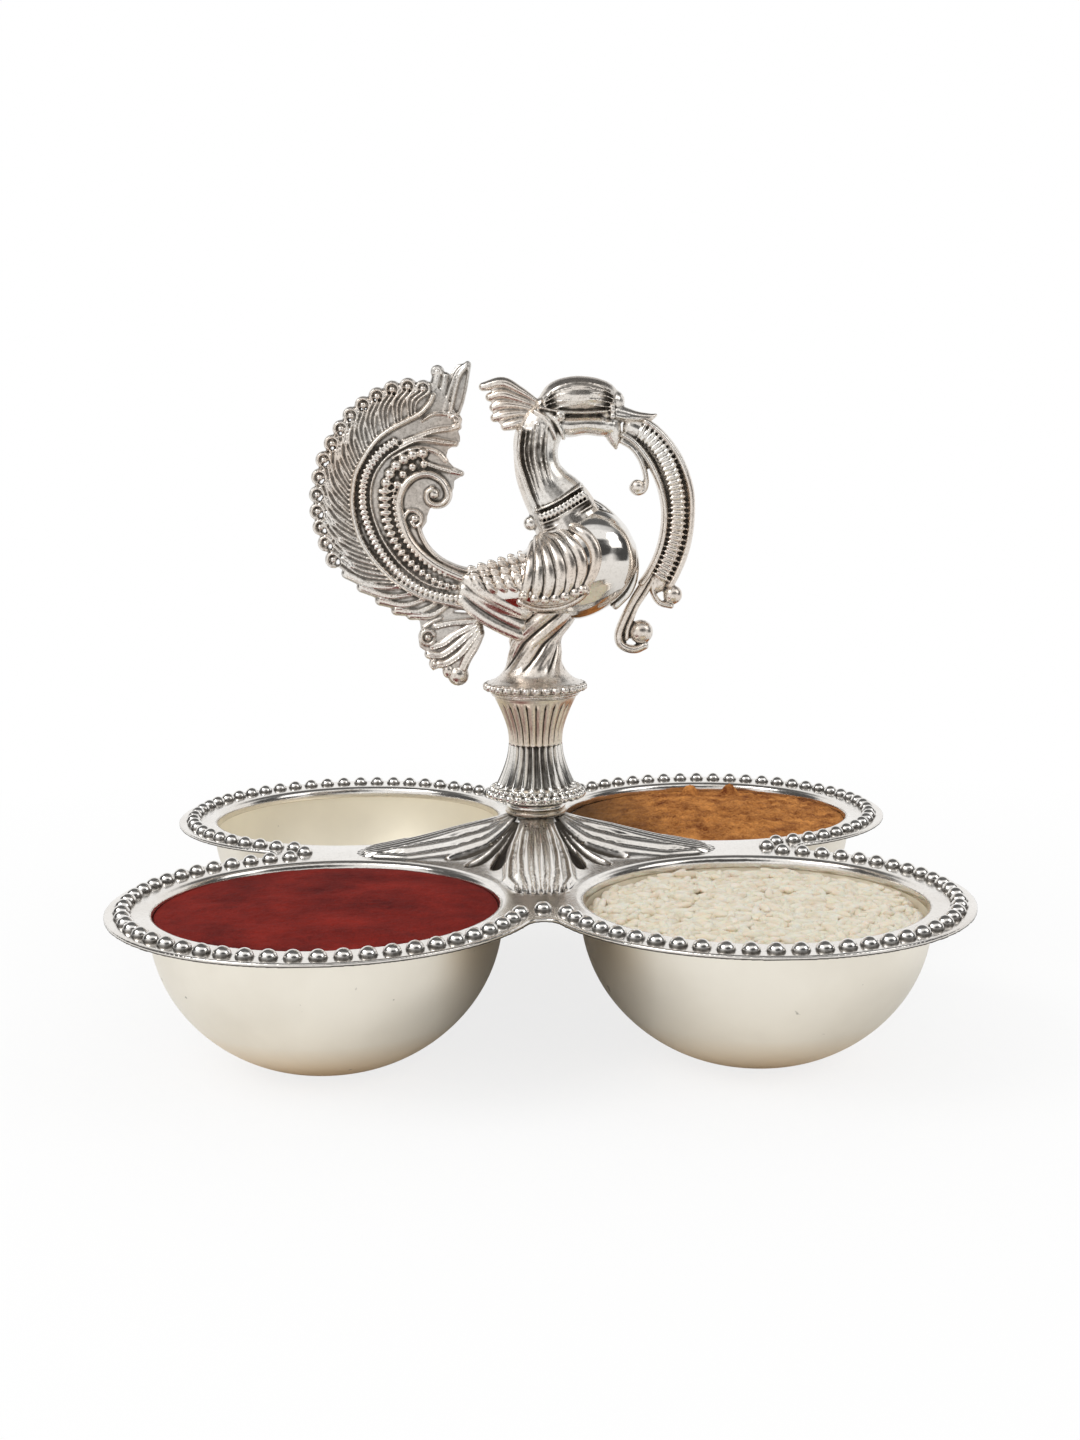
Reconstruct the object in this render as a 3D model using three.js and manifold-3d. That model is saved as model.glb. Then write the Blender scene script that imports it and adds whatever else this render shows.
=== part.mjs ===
// Haldi kumkum box: four spun bowls under a beaded four-lobed plate, with a fluted
// stem and a bird for a handle. Millimetres, +Z up, standing on the plane z = 0,
// the bird facing +X.
import * as THREE from 'three';
import * as BufferGeometryUtils from 'three/addons/utils/BufferGeometryUtils.js';
import Module from 'manifold-3d';

const wasm = await Module();
wasm.setup();

// General
const clearance = 0.3;
const sheet = 0.7;

// Plate: where the bowls sit, the outline and the openings
const plateHeight = 28;
const bowlPitch = 74;
const lobeLap = 0.7;
const webRadius = 2.75;
const rimWidth = 7.7;
const rollRadius = 1.3;
const collarDrop = 2.4;
const roundSteps = 24;
const smallSteps = 16;
const lobeSteps = 22;
const webSteps = 3;

// Beads round the plate
const lipWidth = 3.2;
const beadRadius = 1.42;
const beadHeight = 1.4;
const beadSides = 5;
const beadsPerLobe = 38;
const beadStart = 17;
const webBeadInset = 5.9;

// Fluted skirt in the middle of the plate
const skirtRise = 7.3;
const neckRadius = 5.2;
const skirtMargin = 3.2;
const skirtTipGap = 10.1;
const skirtLap = 1.2;
const skirtFlutes = 32;
const fluteDepth = 0.55;

// Bowls
const bowlLap = 0.4;
const bowlFootRadius = 8;
const bowlWallSteps = 5;

// What the bowls hold: the drop of each surface below the plate, and its crown
const kumkumDrop = 1.3;
const kumkumCrown = 0.8;
const riceDrop = 4.6;
const riceCrown = 1.1;
const riceMound = 0.35;
const turmericDrop = 3.9;
const turmericCrown = 3.6;
const turmericLean = 7;
const clumpRadius = 1.5;
const clumpSink = 0.8;
const fillSteps = 16;
const fillRings = 3;

// Neck ring, collars and stem, stacked on the skirt
const neckRingHeight = 1.3;
const collarRadius = 10;
const footCollarHeight = 4;
const stemHeight = 17.7;
const stemEndRadius = 7.9;
const stemWaistRadius = 5.2;
const stemFlutes = 24;
const stemFluteDepth = 0.5;
const capRingHeight = 1.1;
const collarBeads = 30;
const collarBeadDepth = 0.45;

// Rod, nut and washer that pull the stack together
const rodRadius = 1.5;
const nutAcross = 5.5;
const nutHeight = 2.4;
const washerRadius = 3.5;
const washerThickness = 0.6;
const rodIntoBird = 6;

// Bird: how far it reaches from the stem's axis, how far it rises over the cap ring,
// and how thick its parts are from side to side
const birdReach = 41;
const birdRise = 61.7;
const bodyWidth = 17;
const headWidth = 9.2;
const crestWidth = 4.4;
const tailThickness = 4.7;
const plumeThickness = 4.4;
const scrollRadius = 1.25;
const scrollBall = 2.6;
const curlBall = 1.9;
const tailBall = 2.1;
const wingThickness = 1.1;
const wingRibs = 6;
const tailScallops = 17;
const scallopDepth = 1.1;
const pedestalFlangeHeight = 1.9;
const pedestalFlutes = 9;
const pedestalFluteDepth = 0.5;

// Heights worked out from the sizes above
const bowlCentre = bowlPitch / 2;
const lobeRadius = bowlCentre + lobeLap;
const webPast = Math.sqrt((lobeRadius + webRadius) ** 2 - bowlCentre ** 2);
const webReach = bowlCentre + webPast - webRadius;
const beadRow = lobeRadius - lipWidth;
const webBeadReach = webReach - webBeadInset;
const skirtTip = webBeadReach - skirtTipGap;
const mouthRadius = lobeRadius - rimWidth;
const bowlRadius = mouthRadius + bowlLap;
const bowlRim = plateHeight - sheet - clearance;
const bowlInner = bowlRadius - sheet;
const collarOuter = bowlInner - clearance;
const collarInner = collarOuter - sheet;
const neckTop = plateHeight + skirtRise;
const collarFoot = neckTop + neckRingHeight;
const stemFoot = collarFoot + footCollarHeight;
const capFoot = stemFoot + stemHeight;
const birdFoot = capFoot + capRingHeight;
const rodBore = rodRadius + clearance;
const quarter = Math.PI / 2;

// Drops what merging leaves without an area, and turns the faces outward
function closed(geometry) {
  const bare = new THREE.BufferGeometry();
  bare.setAttribute('position', geometry.getAttribute('position').clone());
  if (geometry.index) bare.setIndex(geometry.index.clone());
  const merged = BufferGeometryUtils.mergeVertices(bare);
  const place = merged.getAttribute('position');
  const old = merged.index.array;
  const kept = [];
  for (let i = 0; i < old.length; i += 3) {
    const [a, b, c] = [old[i], old[i + 1], old[i + 2]];
    if (a !== b && b !== c && c !== a) kept.push(a, b, c);
  }
  const [p, q, r] = [new THREE.Vector3(), new THREE.Vector3(), new THREE.Vector3()];
  let volume = 0;
  for (let i = 0; i < kept.length; i += 3) {
    p.fromBufferAttribute(place, kept[i]);
    q.fromBufferAttribute(place, kept[i + 1]);
    r.fromBufferAttribute(place, kept[i + 2]);
    volume += p.dot(q.cross(r));
  }
  if (volume < 0) kept.reverse();
  merged.setIndex(kept);
  return merged;
}

// A closed geometry as a solid that can be joined and cut
function solid(geometry) {
  const body = closed(geometry);
  return new wasm.Manifold(new wasm.Mesh({
    numProp: 3,
    vertProperties: new Float32Array(body.getAttribute('position').array),
    triVerts: new Uint32Array(body.index.array),
  }));
}

// A joined or cut solid back as a geometry
function carved(body) {
  const mesh = body.getMesh();
  const geometry = new THREE.BufferGeometry();
  geometry.setAttribute('position', new THREE.BufferAttribute(mesh.vertProperties, 3));
  geometry.setIndex(new THREE.BufferAttribute(mesh.triVerts, 1));
  return geometry;
}

// A profile of [radius, height] pairs turned round the z axis; shape may move the radius
function turned(profile, steps, shape) {
  const points = profile.map(([radius, height]) => new THREE.Vector2(radius, height));
  const geometry = new THREE.LatheGeometry(points, steps);
  geometry.rotateX(quarter);
  if (!shape) return geometry;
  const place = geometry.getAttribute('position');
  for (let i = 0; i < place.count; i += 1) {
    const [x, y, z] = [place.getX(i), place.getY(i), place.getZ(i)];
    const radius = Math.hypot(x, y);
    if (radius <= rodBore + clearance) continue;
    const scale = shape(radius, Math.atan2(y, x), z) / radius;
    place.setXYZ(i, x * scale, y * scale, z);
  }
  return geometry;
}

// A ring of profile points closed on itself, for pieces with a bore
function ring(profile, steps, shape) {
  return turned([...profile, profile[0]], steps, shape);
}

// Triangles between rows of points: closed across when each row is a loop,
// closed along when the last row meets the first, and capped at both ends otherwise
function loft(rows, meetsItself = false) {
  const across = rows[0].length;
  const points = rows.flat();
  const faces = [];
  const last = meetsItself ? rows.length : rows.length - 1;
  for (let i = 0; i < last; i += 1) {
    const next = (i + 1) % rows.length;
    for (let j = 0; j < across; j += 1) {
      const side = (j + 1) % across;
      const [a, b] = [i * across + j, i * across + side];
      const [c, d] = [next * across + side, next * across + j];
      faces.push(a, b, c, a, c, d);
    }
  }
  if (!meetsItself) {
    const middle = (row) => row
      .reduce((sum, point) => sum.add(point), new THREE.Vector3())
      .divideScalar(across);
    const start = points.length;
    const end = start + 1;
    const final = (rows.length - 1) * across;
    points.push(middle(rows[0]), middle(rows[rows.length - 1]));
    for (let j = 0; j < across; j += 1) {
      const side = (j + 1) % across;
      faces.push(start, side, j, end, final + j, final + side);
    }
  }
  const geometry = new THREE.BufferGeometry().setFromPoints(points);
  geometry.setIndex(faces);
  return geometry;
}

// A sheet between an upper and a lower grid of points, closed at its edges
function slab(upper, lower, meetsItself = false) {
  const rows = upper.map((row, i) => [...row, ...[...lower[i]].reverse()]);
  return meetsItself ? loft(rows, true) : edged(rows, upper[0].length);
}

// The same with flat ends, which a row of upper and lower points closes as a strip
function edged(rows, width) {
  const geometry = loft(rows);
  const whole = rows[0].length;
  const keep = Array.from(geometry.index.array).slice(0, -2 * 3 * whole);
  const end = (rows.length - 1) * whole;
  for (let j = 0; j < width - 1; j += 1) {
    const [a, b, c, d] = [j, j + 1, whole - 2 - j, whole - 1 - j];
    keep.push(a, c, b, a, d, c);
    keep.push(end + a, end + b, end + c, end + a, end + c, end + d);
  }
  geometry.setIndex(keep);
  return geometry;
}

// Points along an arc from one angle to another
function arc(x, y, radius, from, to, steps) {
  const clockwise = to < from;
  return new THREE.EllipseCurve(x, y, radius, radius, from, to, clockwise).getPoints(steps);
}

// The four places round the middle where a bowl hangs
const corners = [[1, 1], [-1, 1], [-1, -1], [1, -1]].map(
  ([x, y]) => new THREE.Vector2(x * bowlCentre, y * bowlCentre),
);

// Outline of the plate: four lobes joined by small hollow webs
function plateOutline() {
  const lean = Math.atan2(webPast, bowlCentre);
  const points = [];
  corners.forEach((corner, side) => {
    const turn = side * quarter;
    const web = new THREE.Vector2(0, webReach + webRadius).rotateAround(new THREE.Vector2(), turn);
    points.push(...arc(corner.x, corner.y, lobeRadius, turn - quarter + lean,
      turn + Math.PI - lean, lobeSteps).slice(1));
    points.push(...arc(web.x, web.y, webRadius, turn - lean, turn - Math.PI + lean,
      webSteps).slice(1));
  });
  return points;
}

// How far the skirt reaches at an angle: to the rim round a bowl, or to its own tip
function skirtReach(angle) {
  const middle = bowlCentre * Math.SQRT2;
  const off = Math.abs((((angle % quarter) + quarter) % quarter) - quarter / 2);
  const rim = mouthRadius + skirtMargin;
  const half = rim ** 2 - (middle * Math.sin(off)) ** 2;
  if (half <= 0) return skirtTip;
  return Math.min(skirtTip, middle * Math.cos(off) - Math.sqrt(half));
}

// A solid cone that spreads from the neck to the plate and a little below it. Its
// flutes stand out and in by the given depth, and drop lowers the whole form.
function skirtCone(steps, depth, drop) {
  const downShares = [0.18, 0.54, 1];
  const rows = [];
  for (let i = 0; i < steps; i += 1) {
    const angle = (i / steps) * 2 * Math.PI;
    const edge = skirtReach(angle);
    const wave = i % 2 === 0 ? depth : -depth;
    const at = (radius, height) => new THREE.Vector3(
      radius * Math.cos(angle), radius * Math.sin(angle), height - drop,
    );
    const row = [at(rodBore, neckTop), at(neckRadius, neckTop)];
    downShares.forEach((share) => {
      const radius = neckRadius + share * (edge - skirtLap - neckRadius);
      const swell = wave * Math.sin(Math.PI * share);
      row.push(at(radius, plateHeight + skirtRise * (1 - share) ** 2.4 + swell));
    });
    row.push(at(edge, plateHeight), at(edge, plateHeight - sheet), at(rodBore, plateHeight - sheet));
    rows.push(row);
  }
  return solid(loft(rows, true));
}

// The skirt's sheet: the fluted cone less the hollow under it
function skirtSheet() {
  return skirtCone(skirtFlutes * 2, fluteDepth, 0).subtract(skirtCone(roundSteps, 0, sheet));
}

// The rim rolled down into a bowl's mouth
function rolledRim(corner) {
  const low = plateHeight - collarDrop;
  const outer = mouthRadius + skirtMargin / 2;
  const bend = [];
  for (let i = 0; i <= 2; i += 1) {
    const angle = (i / 2) * quarter;
    const radius = mouthRadius - Math.sin(angle) * (mouthRadius - collarInner);
    bend.push([radius, plateHeight - rollRadius * (1 - Math.cos(angle))]);
  }
  const profile = [[outer, plateHeight], ...bend, [collarInner, low], [collarOuter, low],
    [collarOuter, plateHeight - rollRadius], [mouthRadius, plateHeight - sheet],
    [outer, plateHeight - sheet]];
  return ring(profile, roundSteps).translate(corner.x, corner.y, 0);
}

// Centres of the beads, one lobe after another, each followed by the bead in its web
function beadCentres() {
  const centres = [];
  const start = THREE.MathUtils.degToRad(beadStart);
  corners.forEach((corner, side) => {
    const from = (side - 1) * quarter + start;
    const to = side * quarter + Math.PI - start;
    arc(corner.x, corner.y, beadRow, from, to, beadsPerLobe - 1).forEach((p) => centres.push(p));
    centres.push(new THREE.Vector2(0, webBeadReach)
      .rotateAround(new THREE.Vector2(), side * quarter));
  });
  return centres;
}

// A raised bead on the plate, rooted in the middle of the sheet
function bead(centre) {
  const stud = new THREE.ConeGeometry(beadRadius, beadHeight + sheet / 2, beadSides);
  stud.rotateX(quarter);
  return stud.translate(centre.x, centre.y, plateHeight + beadHeight / 2 - sheet / 4);
}

// Plate, skirt, rims and beads, all worked in one sheet
function topPlate() {
  const shape = new THREE.Shape(plateOutline());
  corners.forEach((corner) => {
    shape.holes.push(new THREE.Path(
      arc(corner.x, corner.y, mouthRadius, 0, 2 * Math.PI, roundSteps).slice(1),
    ));
  });
  const star = [];
  for (let i = 0; i < skirtFlutes * 2; i += 1) {
    const angle = (i / (skirtFlutes * 2)) * 2 * Math.PI;
    const radius = skirtReach(angle) - skirtLap;
    star.push(new THREE.Vector2(radius * Math.cos(angle), radius * Math.sin(angle)));
  }
  shape.holes.push(new THREE.Path(star));
  const flat = new THREE.ExtrudeGeometry(shape, { depth: sheet, bevelEnabled: false });
  flat.translate(0, 0, plateHeight - sheet);
  let plate = solid(flat).add(skirtSheet());
  corners.forEach((corner) => {
    plate = plate.add(solid(rolledRim(corner)));
  });
  const beads = beadCentres().map((centre) => solid(bead(centre)));
  return carved(plate.add(wasm.Manifold.compose(beads)));
}

// Radius of a bowl's wall at a share of the way round from rim to foot, and its height
function wallAt(share, inset) {
  const angle = share * quarter;
  const foot = bowlFootRadius - inset;
  const reach = bowlRadius - inset - foot;
  return [
    foot + reach * Math.cos(angle) ** 1.3,
    inset + (bowlRim - inset) * (1 - Math.sin(angle) ** 0.9),
  ];
}

// A spun bowl: a thin wall, nearly upright at the rim, rounding in to a flat foot
function bowl() {
  const outside = [];
  const inside = [];
  for (let i = 0; i <= bowlWallSteps; i += 1) {
    outside.push(wallAt(i / bowlWallSteps, 0));
    inside.push(wallAt(1 - i / bowlWallSteps, sheet));
  }
  return turned([...outside, [0, 0], [0, sheet], ...inside, outside[0]], roundSteps);
}

// What fills a bowl, up to a surface given by its height over a place in the bowl.
// Rings of points run out along the wall, up inside the collar and back to the middle.
function fill(surface) {
  const inset = sheet + clearance;
  const low = plateHeight - collarDrop - clearance;
  const edge = collarInner - clearance;
  const circle = (radius, heightAt) => {
    const row = [];
    for (let i = 0; i < fillSteps; i += 1) {
      const angle = (i / fillSteps) * 2 * Math.PI;
      const [x, y] = [radius * Math.cos(angle), radius * Math.sin(angle)];
      row.push(new THREE.Vector3(x, y, heightAt(x, y)));
    }
    return row;
  };
  const rows = [];
  for (let j = fillRings; j >= 0; j -= 1) {
    const [radius, height] = wallAt((j + 0.5) / (fillRings + 0.5), inset);
    rows.push(circle(Math.min(radius, edge), () => Math.min(height, low)));
  }
  for (let j = fillRings; j > 0; j -= 1) {
    rows.push(circle((edge * j) / fillRings, surface));
  }
  return loft(rows);
}

// Plain ring between the skirt and the foot collar
function neckRing() {
  const bulge = neckRadius + sheet;
  return ring([
    [rodBore, neckTop], [neckRadius, neckTop], [bulge, (neckTop + collarFoot) / 2],
    [neckRadius, collarFoot], [rodBore, collarFoot],
  ], smallSteps);
}

// Moves a radius in and out once for each bead of a collar
function beadWave(radius, angle) {
  if (radius < collarRadius * 0.93) return radius;
  return radius - collarBeadDepth * (1 - Math.cos(angle * collarBeads)) / 2;
}

function footCollar() {
  const at = (share) => collarFoot + share * footCollarHeight;
  return ring([
    [rodBore, at(0)], [neckRadius, at(0)], [collarRadius, at(0.3)],
    [collarRadius, at(0.66)], [stemEndRadius * 0.95, at(1)], [rodBore, at(1)],
  ], collarBeads * 2, beadWave);
}

function stem() {
  const shares = [0, 0.16, 0.5, 0.84, 1];
  const drawIn = stemEndRadius - stemWaistRadius;
  const wall = shares.map((share) => [
    stemWaistRadius + drawIn * Math.abs(2 * share - 1) ** 1.6,
    stemFoot + share * stemHeight,
  ]);
  const flute = (radius, angle) => {
    return radius - (stemFluteDepth * (1 - Math.cos(angle * stemFlutes))) / 2;
  };
  return ring([[rodBore, stemFoot], ...wall, [rodBore, capFoot]], stemFlutes * 2, flute);
}

function capRing() {
  const bulge = stemEndRadius + sheet;
  return ring([
    [rodBore, capFoot], [stemEndRadius, capFoot], [bulge, (capFoot + birdFoot) / 2],
    [stemEndRadius, birdFoot], [rodBore, birdFoot],
  ], smallSteps);
}

// A place in the bird's plane, from shares of its reach and rise
function inBird([across, up]) {
  return new THREE.Vector3(across * birdReach, 0, birdFoot + up * birdRise);
}

function birdCurve(shares) {
  return new THREE.CatmullRomCurve3(shares.map(inBird));
}

// A limb of the bird along a curve, oval in section. Each share is [half height in
// the bird's plane, half width from side to side], the first of the bird's rise and
// the second of the given width; grow adds a clearance all round.
function limb(pathShares, halfShares, width, steps, sides, grow = 0) {
  const path = birdCurve(pathShares);
  const halves = new THREE.CatmullRomCurve3(
    halfShares.map(([high, wide]) => new THREE.Vector3(high * birdRise, wide * width, 0)),
  );
  const rows = [];
  for (let i = 0; i <= steps; i += 1) {
    const share = i / steps;
    const at = path.getPoint(share);
    const along = path.getTangent(share);
    const half = halves.getPoint(share);
    if (i === 0) at.addScaledVector(along, -grow);
    if (i === steps) at.addScaledVector(along, grow);
    const row = [];
    for (let j = 0; j < sides; j += 1) {
      const angle = (j / sides) * 2 * Math.PI;
      const high = Math.cos(angle) * (half.x + grow);
      row.push(new THREE.Vector3(
        at.x - along.z * high,
        Math.sin(angle) * (half.y + grow),
        at.z + along.x * high,
      ));
    }
    rows.push(row);
  }
  return loft(rows);
}

// Body: an egg from the root of the tail to the breast
const bodyPathShares = [[-0.36, 0.345], [-0.2, 0.36], [0, 0.375], [0.2, 0.38], [0.38, 0.385],
  [0.49, 0.39]];
const bodyHalfShares = [[0.03, 0.12], [0.085, 0.33], [0.145, 0.46], [0.172, 0.5],
  [0.135, 0.41], [0.02, 0.06]];
function birdBody(grow = 0) {
  return limb(bodyPathShares, bodyHalfShares, bodyWidth, 12, 18, grow);
}

// Neck, head and upper bill in one sweep, with the lower bill hanging under it
const neckPathShares = [[0.16, 0.47], [0.09, 0.58], [0.02, 0.69], [0.04, 0.79], [0.15, 0.86],
  [0.3, 0.87], [0.44, 0.845], [0.555, 0.825]];
const neckHalfShares = [[0.115, 0.72], [0.088, 0.56], [0.072, 0.48], [0.078, 0.46],
  [0.098, 0.54], [0.085, 0.46], [0.05, 0.3], [0.018, 0.14]];
const billPathShares = [[0.22, 0.83], [0.32, 0.79], [0.385, 0.74]];
const billHalfShares = [[0.05, 0.34], [0.045, 0.28], [0.016, 0.14]];
function birdHead(grow = 0) {
  const upper = solid(limb(neckPathShares, neckHalfShares, headWidth, 14, 12, grow));
  const bill = solid(limb(billPathShares, billHalfShares, headWidth, 4, 8, grow));
  return upper.add(bill);
}

// Crest: a fan of ribs behind the head, with a scalloped edge
function crest() {
  const edgeShares = [[0.05, 0.885], [-0.06, 0.935], [-0.155, 0.952], [-0.225, 0.921],
    [-0.185, 0.895], [-0.2, 0.87], [-0.175, 0.848], [-0.185, 0.825], [-0.125, 0.795],
    [-0.06, 0.775], [0, 0.78]];
  const shape = new THREE.Shape(edgeShares.map((share) => {
    const point = inBird(share);
    return new THREE.Vector2(point.x, point.z);
  }));
  const fan = new THREE.ExtrudeGeometry(shape, { depth: crestWidth, bevelEnabled: false });
  fan.rotateX(quarter);
  fan.translate(0, crestWidth / 2, 0);
  return carved(solid(fan).subtract(birdHead(clearance)));
}

// Wing: a ribbed shield that follows the body's side at a small gap; grow gives
// the form, with a clearance all round, that its neighbours are cut by
function wing(side, grow = 0) {
  const path = birdCurve(bodyPathShares);
  const halves = new THREE.CatmullRomCurve3(
    bodyHalfShares.map(([high, wide]) => new THREE.Vector3(high * birdRise, wide * bodyWidth, 0)),
  );
  const onBody = (share, angle, out) => {
    const at = path.getPoint(share);
    const along = path.getTangent(share);
    const half = halves.getPoint(share);
    const high = Math.cos(angle) * (half.x + out);
    return new THREE.Vector3(
      at.x - along.z * high,
      side * Math.sin(angle) * (half.y + out),
      at.z + along.x * high,
    );
  };
  const upper = [];
  const lower = [];
  const ribSteps = wingRibs * 2;
  const downSteps = 4;
  const extra = grow / birdReach;
  for (let i = 0; i <= ribSteps; i += 1) {
    const share = i / ribSteps;
    const rib = i % 2 === 1 ? 1 : 0.55;
    const out = [];
    const back = [];
    for (let j = 0; j <= downSteps; j += 1) {
      const down = j / downSteps;
      const spread = 0.5 + 2 * extra;
      const along = 0.12 - extra + spread * share + 0.1 * Math.sin(Math.PI * down) * share;
      const angle = (0.18 - extra + (0.52 + 2 * extra) * down) * Math.PI;
      const crown = rib * (0.35 + 0.65 * Math.sin(Math.PI * (0.15 + 0.7 * down)));
      out.push(onBody(along, angle, clearance + wingThickness * crown + grow));
      back.push(onBody(along, angle, clearance - grow));
    }
    upper.push(out);
    lower.push(back);
  }
  return solid(slab(upper, lower));
}

// Tail: a crescent of feathers with curled tips, from its ball up to the pointed leaf
const tailOuterShares = [[-0.44, 0.03], [-0.52, 0.156], [-0.588, 0.227], [-0.783, 0.298],
  [-0.927, 0.397], [-0.985, 0.577], [-0.955, 0.72], [-0.83, 0.845], [-0.64, 0.925],
  [-0.46, 0.975], [-0.285, 1]];
const tailInnerShares = [[-0.3, 0.06], [-0.217, 0.183], [-0.18, 0.285], [-0.337, 0.373],
  [-0.45, 0.425], [-0.5, 0.49], [-0.47, 0.56], [-0.385, 0.63], [-0.37, 0.74],
  [-0.335, 0.83], [-0.275, 0.97]];
// Across the tail: its inner rail, the beaded hollow, the midrib, and the feathers,
// which stand out on each scallop and fall back between them
const tailBandShares = [[0, 0.45], [0.2, 1], [0.4, 0.8], [0.66, 1]];
const tailFeatherShares = [[0.77, 0.62], [1, 0.55]];
const featherRiseShare = 0.25;
function tail() {
  const steps = tailScallops * 2;
  const outer = birdCurve(tailOuterShares);
  const inner = birdCurve(tailInnerShares);
  const near = [];
  const far = [];
  for (let i = 0; i <= steps; i += 1) {
    const share = i / steps;
    const from = inner.getPoint(share);
    const to = outer.getPoint(share);
    const outward = to.clone().sub(from).normalize();
    const wave = i % 2 === 1 ? 1 : -1;
    to.addScaledVector(outward, (wave * scallopDepth) / 2);
    const at = ([across, deep]) => {
      const point = from.clone().lerp(to, across);
      point.y = (deep * tailThickness) / 2;
      return point;
    };
    const feather = ([across, deep]) => at([across, deep * (1 + wave * featherRiseShare)]);
    const row = [...tailBandShares.map(at), ...tailFeatherShares.map(feather)];
    near.push(row);
    far.push(row.map((point) => new THREE.Vector3(point.x, -point.y, point.z)));
  }
  const ball = new THREE.SphereGeometry(tailBall, 8, 5);
  const seat = inBird([-0.36, 0.05]);
  ball.translate(seat.x, seat.y, seat.z);
  const cut = solid(birdBody(clearance)).add(wing(1, clearance)).add(wing(-1, clearance));
  return carved(solid(slab(near, far)).add(solid(ball)).subtract(cut));
}

// Plume that falls from the beak in a crescent, with a curled inner strand
const plumePathShares = [[0.52, 0.79], [0.6, 0.745], [0.655, 0.66], [0.672, 0.56],
  [0.655, 0.46], [0.6, 0.37], [0.63, 0.3]];
const plumeHalfShares = [[0.035, 0.36], [0.048, 0.5], [0.05, 0.5], [0.05, 0.5], [0.05, 0.5],
  [0.04, 0.42], [0.022, 0.3]];
const curlPathShares = [[0.47, 0.77], [0.515, 0.7], [0.49, 0.63]];
const curlHalfShares = [[0.02, 0.3], [0.018, 0.26], [0.018, 0.26]];
function plume(grow = 0) {
  const band = solid(limb(plumePathShares, plumeHalfShares, plumeThickness, 14, 8, grow));
  const curl = solid(limb(curlPathShares, curlHalfShares, plumeThickness, 5, 6, grow));
  const knob = new THREE.SphereGeometry(curlBall + grow, 8, 5);
  const knobSeat = inBird([0.485, 0.622]);
  knob.translate(knobSeat.x, knobSeat.y, knobSeat.z);
  const tip = new THREE.SphereGeometry(curlBall + grow, 8, 5);
  const tipSeat = inBird([0.63, 0.288]);
  tip.translate(tipSeat.x, tipSeat.y, tipSeat.z);
  return band.add(curl).add(solid(knob)).add(solid(tip)).subtract(birdHead(clearance));
}

// Scroll from the plume down over the breast to a ball under it
const scrollPathShares = [[0.55, 0.42], [0.49, 0.35], [0.42, 0.27], [0.355, 0.2],
  [0.365, 0.135], [0.43, 0.115], [0.49, 0.15]];
function scroll() {
  const halfShare = scrollRadius / birdRise;
  const halves = scrollPathShares.map(() => [halfShare, 0.5]);
  const strand = solid(limb(scrollPathShares, halves, scrollRadius * 2, 11, 6));
  const ball = new THREE.SphereGeometry(scrollBall, 8, 6);
  const seat = inBird([0.495, 0.173]);
  ball.translate(seat.x, seat.y, seat.z);
  const cut = solid(birdBody(clearance)).add(plume(clearance));
  return carved(strand.add(solid(ball)).subtract(cut));
}

// Pedestal of twisted leaves that carries the body, on its beaded flange
function pedestal() {
  const top = birdFoot + birdRise * 0.29;
  const flangeTop = birdFoot + pedestalFlangeHeight;
  const at = (share) => flangeTop + share * (top - flangeTop);
  const flange = ring([
    [rodBore, birdFoot], [collarRadius * 0.86, birdFoot],
    [collarRadius, birdFoot + pedestalFlangeHeight * 0.35],
    [collarRadius, birdFoot + pedestalFlangeHeight * 0.75],
    [collarRadius * 0.84, flangeTop], [rodBore, flangeTop],
  ], collarBeads * 2, beadWave);
  const boreTop = birdFoot + rodIntoBird + clearance;
  const middle = birdFoot + pedestalFlangeHeight / 2;
  const leaves = [
    [rodBore, middle], [collarRadius * 0.8, middle], [collarRadius * 0.8, flangeTop],
    [collarRadius * 0.58, at(0.12)], [collarRadius * 0.43, at(0.32)],
    [collarRadius * 0.39, at(0.5)], [collarRadius * 0.55, at(1)],
    [0, at(1)], [0, boreTop], [rodBore, boreTop],
  ];
  const shape = (radius, angle, height) => {
    if (height <= flangeTop) return radius;
    const twist = (height - flangeTop) / (top - flangeTop);
    return radius - pedestalFluteDepth * (1 - Math.cos((angle + twist) * pedestalFlutes)) / 2;
  };
  const whole = solid(flange).add(solid(ring(leaves, pedestalFlutes * 2, shape)));
  const cut = solid(birdBody(clearance)).add(wing(1, clearance)).add(wing(-1, clearance));
  return carved(whole.subtract(cut));
}

// Rod up the middle, with the washer and nut that draw it tight under the skirt
const washerTop = neckTop - sheet;
const nutTop = washerTop - washerThickness;
function tieRod() {
  const foot = nutTop - nutHeight - clearance;
  const head = birdFoot + rodIntoBird;
  const profile = [[0, foot], [rodRadius, foot], [rodRadius, head], [0, head]];
  return turned(profile, 12);
}

function washer() {
  return ring([
    [rodBore, washerTop - washerThickness], [washerRadius, washerTop - washerThickness],
    [washerRadius, washerTop], [rodBore, washerTop],
  ], smallSteps);
}

function nut() {
  const corner = nutAcross / 2 / Math.cos(Math.PI / 6);
  const shape = new THREE.Shape(arc(0, 0, corner, 0, 2 * Math.PI, 6).slice(1));
  shape.holes.push(new THREE.Path(arc(0, 0, rodBore, 0, 2 * Math.PI, 12).slice(1)));
  const body = new THREE.ExtrudeGeometry(shape, { depth: nutHeight, bevelEnabled: false });
  return body.translate(0, 0, nutTop - nutHeight);
}

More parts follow.
